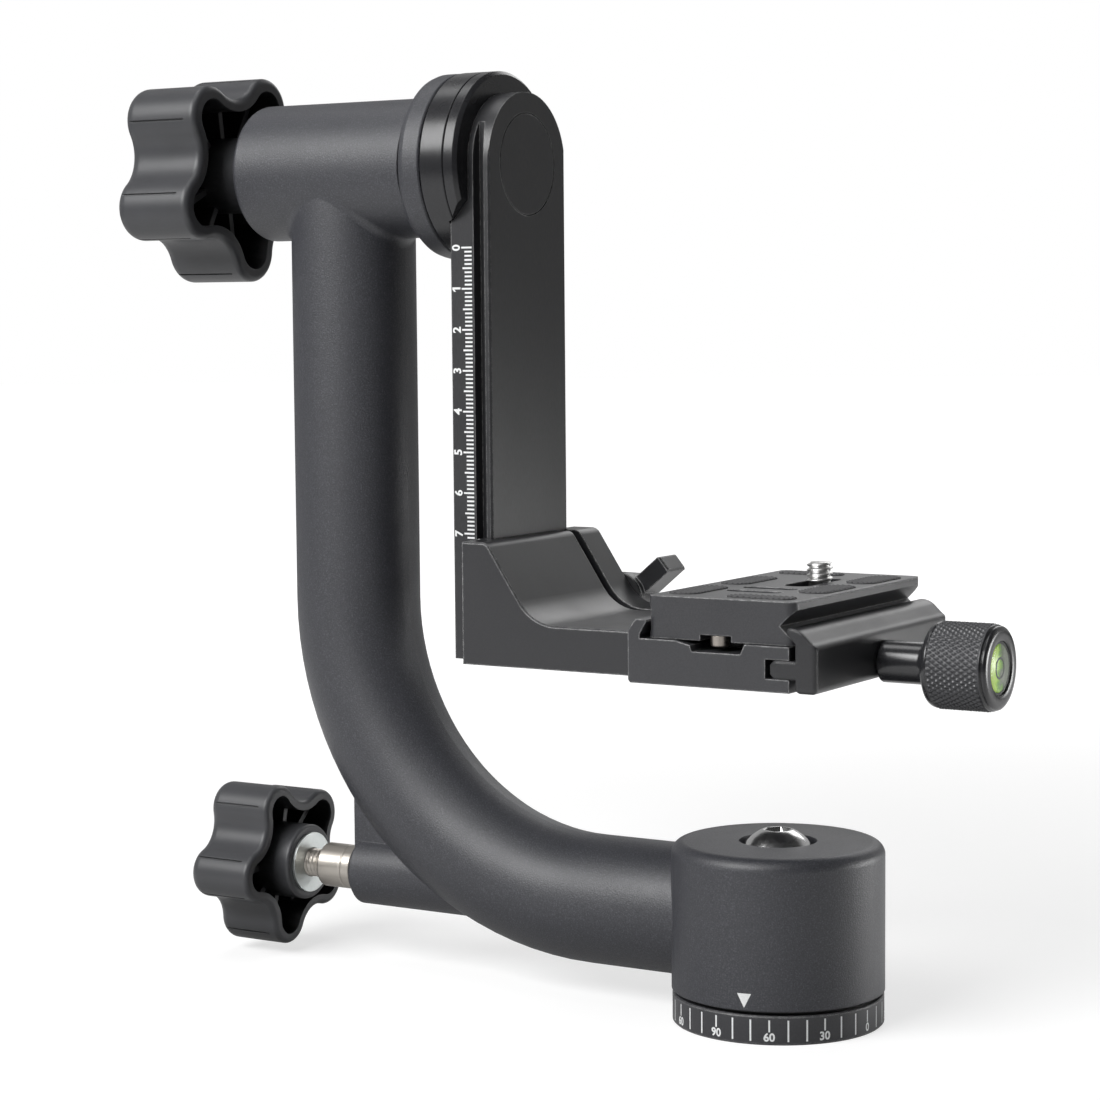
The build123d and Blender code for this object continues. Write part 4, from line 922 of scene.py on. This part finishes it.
def floor_material():
    """Shows as white to the camera and keeps the shadow; a painted shadow dims its reflections under the
    object.
    """
    material, tree, shader = new_material("floor")
    shader.inputs["Base Color"].default_value = (FLOOR_TONE, FLOOR_TONE, FLOOR_TONE, 1)
    shader.inputs["Roughness"].default_value = 0.9
    shader.inputs["Specular IOR Level"].default_value = 0.1
    reach = distance(tree)
    # painted shadow: the floor seen in reflections is dimmed in a patch under the object
    under = fade(tree, distance(tree, FLOOR_SHADE_AT, FLOOR_SHADE_SQUEEZE), *FLOOR_SHADE)
    clear, glossy = seen_directly(tree)
    glow = math_node(tree, "MULTIPLY", clear, fade(tree, reach, *FLOOR_GLOW))
    sheen = math_node(tree, "MULTIPLY", math_node(tree, "MULTIPLY", glossy, under),
                      fade(tree, reach, *FLOOR_SHEEN_END))
    shader.inputs["Emission Color"].default_value = (1, 1, 1, 1)
    tree.links.new(math_node(tree, "MAXIMUM", glow, sheen), shader.inputs["Emission Strength"])
    return material


def floor():
    """Round pale floor, its rings closer together near the object."""
    mesh = bpy.data.meshes.new("floor")
    steps = FLOOR_AROUND
    verts = [(0, 0, 0)]
    for ring in range(1, FLOOR_RINGS + 1):
        r = FLOOR_REACH * (ring / FLOOR_RINGS) ** 2
        verts += [(r * cos(2 * pi * i / steps), r * sin(2 * pi * i / steps), 0) for i in range(steps)]
    faces = [(0, 1 + i, 1 + (i + 1) % steps) for i in range(steps)]
    for ring in range(FLOOR_RINGS - 1):
        a, b = 1 + ring * steps, 1 + (ring + 1) * steps
        faces += [(a + i, b + i, b + (i + 1) % steps, a + (i + 1) % steps) for i in range(steps)]
    mesh.from_pydata(verts, [], faces)
    made = bpy.data.objects.new("floor", mesh)
    bpy.context.scene.collection.objects.link(made)
    mesh.materials.append(floor_material())


def softbox(name, place, target, size, power, spread=pi):
    """Area light at a place in metres, aimed at a target; its width lies level."""
    data = bpy.data.lights.new(name, "AREA")
    data.shape = "RECTANGLE"
    data.size, data.size_y = size
    data.energy = power
    data.spread = spread
    made = bpy.data.objects.new(name, data)
    made.location = place
    aim = Vector(target) - Vector(place)
    made.rotation_mode = "QUATERNION"
    made.rotation_quaternion = aim.to_track_quat("-Z", "Y")
    bpy.context.scene.collection.objects.link(made)


ROOM_FILL = 0.05

# each of these is the start, end, low and high of a fade
BACKDROP_GLOSS = (-0.1, 0.45, 0.03, 0.43)
CEILING_GLOSS = (0.45, 0.8, 1.0, 0.12)


def backdrop(ahead):
    """World: white to the camera; reflections find it grey behind the object and dim in front."""
    world = bpy.data.worlds.new("studio")
    bpy.context.scene.world = world
    world.use_nodes = True
    tree = world.node_tree
    direction = tree.nodes.new("ShaderNodeTexCoord").outputs["Generated"]
    towards = tree.nodes.new("ShaderNodeVectorMath")
    towards.operation = "DOT_PRODUCT"
    towards.inputs[1].default_value = Vector((ahead.x, ahead.y, 0)).normalized()
    tree.links.new(direction, towards.inputs[0])
    split = tree.nodes.new("ShaderNodeSeparateXYZ")
    tree.links.new(direction, split.inputs["Vector"])
    behind = fade(tree, towards.outputs["Value"], *BACKDROP_GLOSS)
    ceiling = fade(tree, split.outputs["Z"], *CEILING_GLOSS)
    clear, glossy = seen_directly(tree)
    gloss = math_node(tree, "MULTIPLY", glossy, math_node(tree, "MULTIPLY", behind, ceiling))
    strength = math_node(tree, "MAXIMUM", math_node(tree, "MAXIMUM", clear, gloss), ROOM_FILL)
    background = tree.nodes["Background"]
    background.inputs["Color"].default_value = (1, 1, 1, 1)
    tree.links.new(strength, background.inputs["Strength"])


LIT_CENTRE = (-0.06, 0.0, 0.12)
KEY_TURN = 53.0
KEY_LIFT = 34.0
KEY_FAR = 1.25
KEY_SIZE = (1.0, 0.6)
KEY_POWER = 20
EDGE_AT = (0.33, 0.30, 0.06)
EDGE_TARGET = (0.02, 0.0, 0.02)
EDGE_SIZE = (0.2, 0.1)
EDGE_POWER = 0.055
EDGE_SPREAD = 40.0
OVERHEAD_AT = (-0.14, -0.1, 0.92)
OVERHEAD_SIZE = (1.1, 0.25)
OVERHEAD_POWER = 2.5
FILL_BEHIND = 1.1
FILL_ASIDE = 0.5
FILL_UP = 0.7
FILL_SIZE = (0.8, 0.6)
FILL_POWER = 3


def studio(right, ahead):
    """Soft key from the camera's left, a low edge light on its right, a strip above, a fill behind."""
    backdrop(ahead)
    centre = Vector(LIT_CENTRE)
    side = Vector((right.x, right.y, 0)).normalized()
    back = Vector((-ahead.x, -ahead.y, 0)).normalized()
    up = Vector((0, 0, 1))
    turn, lift = radians(KEY_TURN), radians(KEY_LIFT)
    key = cos(lift) * (cos(turn) * back - sin(turn) * side) + sin(lift) * up
    softbox("key", centre + key * KEY_FAR, centre, KEY_SIZE, KEY_POWER)
    softbox("edge", EDGE_AT, EDGE_TARGET, EDGE_SIZE, EDGE_POWER, radians(EDGE_SPREAD))
    softbox("overhead", OVERHEAD_AT, centre, OVERHEAD_SIZE, OVERHEAD_POWER)
    fill = centre - back * FILL_BEHIND + side * FILL_ASIDE + up * FILL_UP
    softbox("back_fill", fill, centre, FILL_SIZE, FILL_POWER)


# ---- making ---------------------------------------------------------------------------

bpy.context.scene.view_settings.view_transform = "Standard"
finish_nodes()
dial_marks()
index_mark()
rail_scale()
qr_knob()
level()
pan_lock_screw()
camera_screw()
pan_screw()
pad_ribs()
right_axis, view_axis = camera()
floor()
studio(right_axis, view_axis)
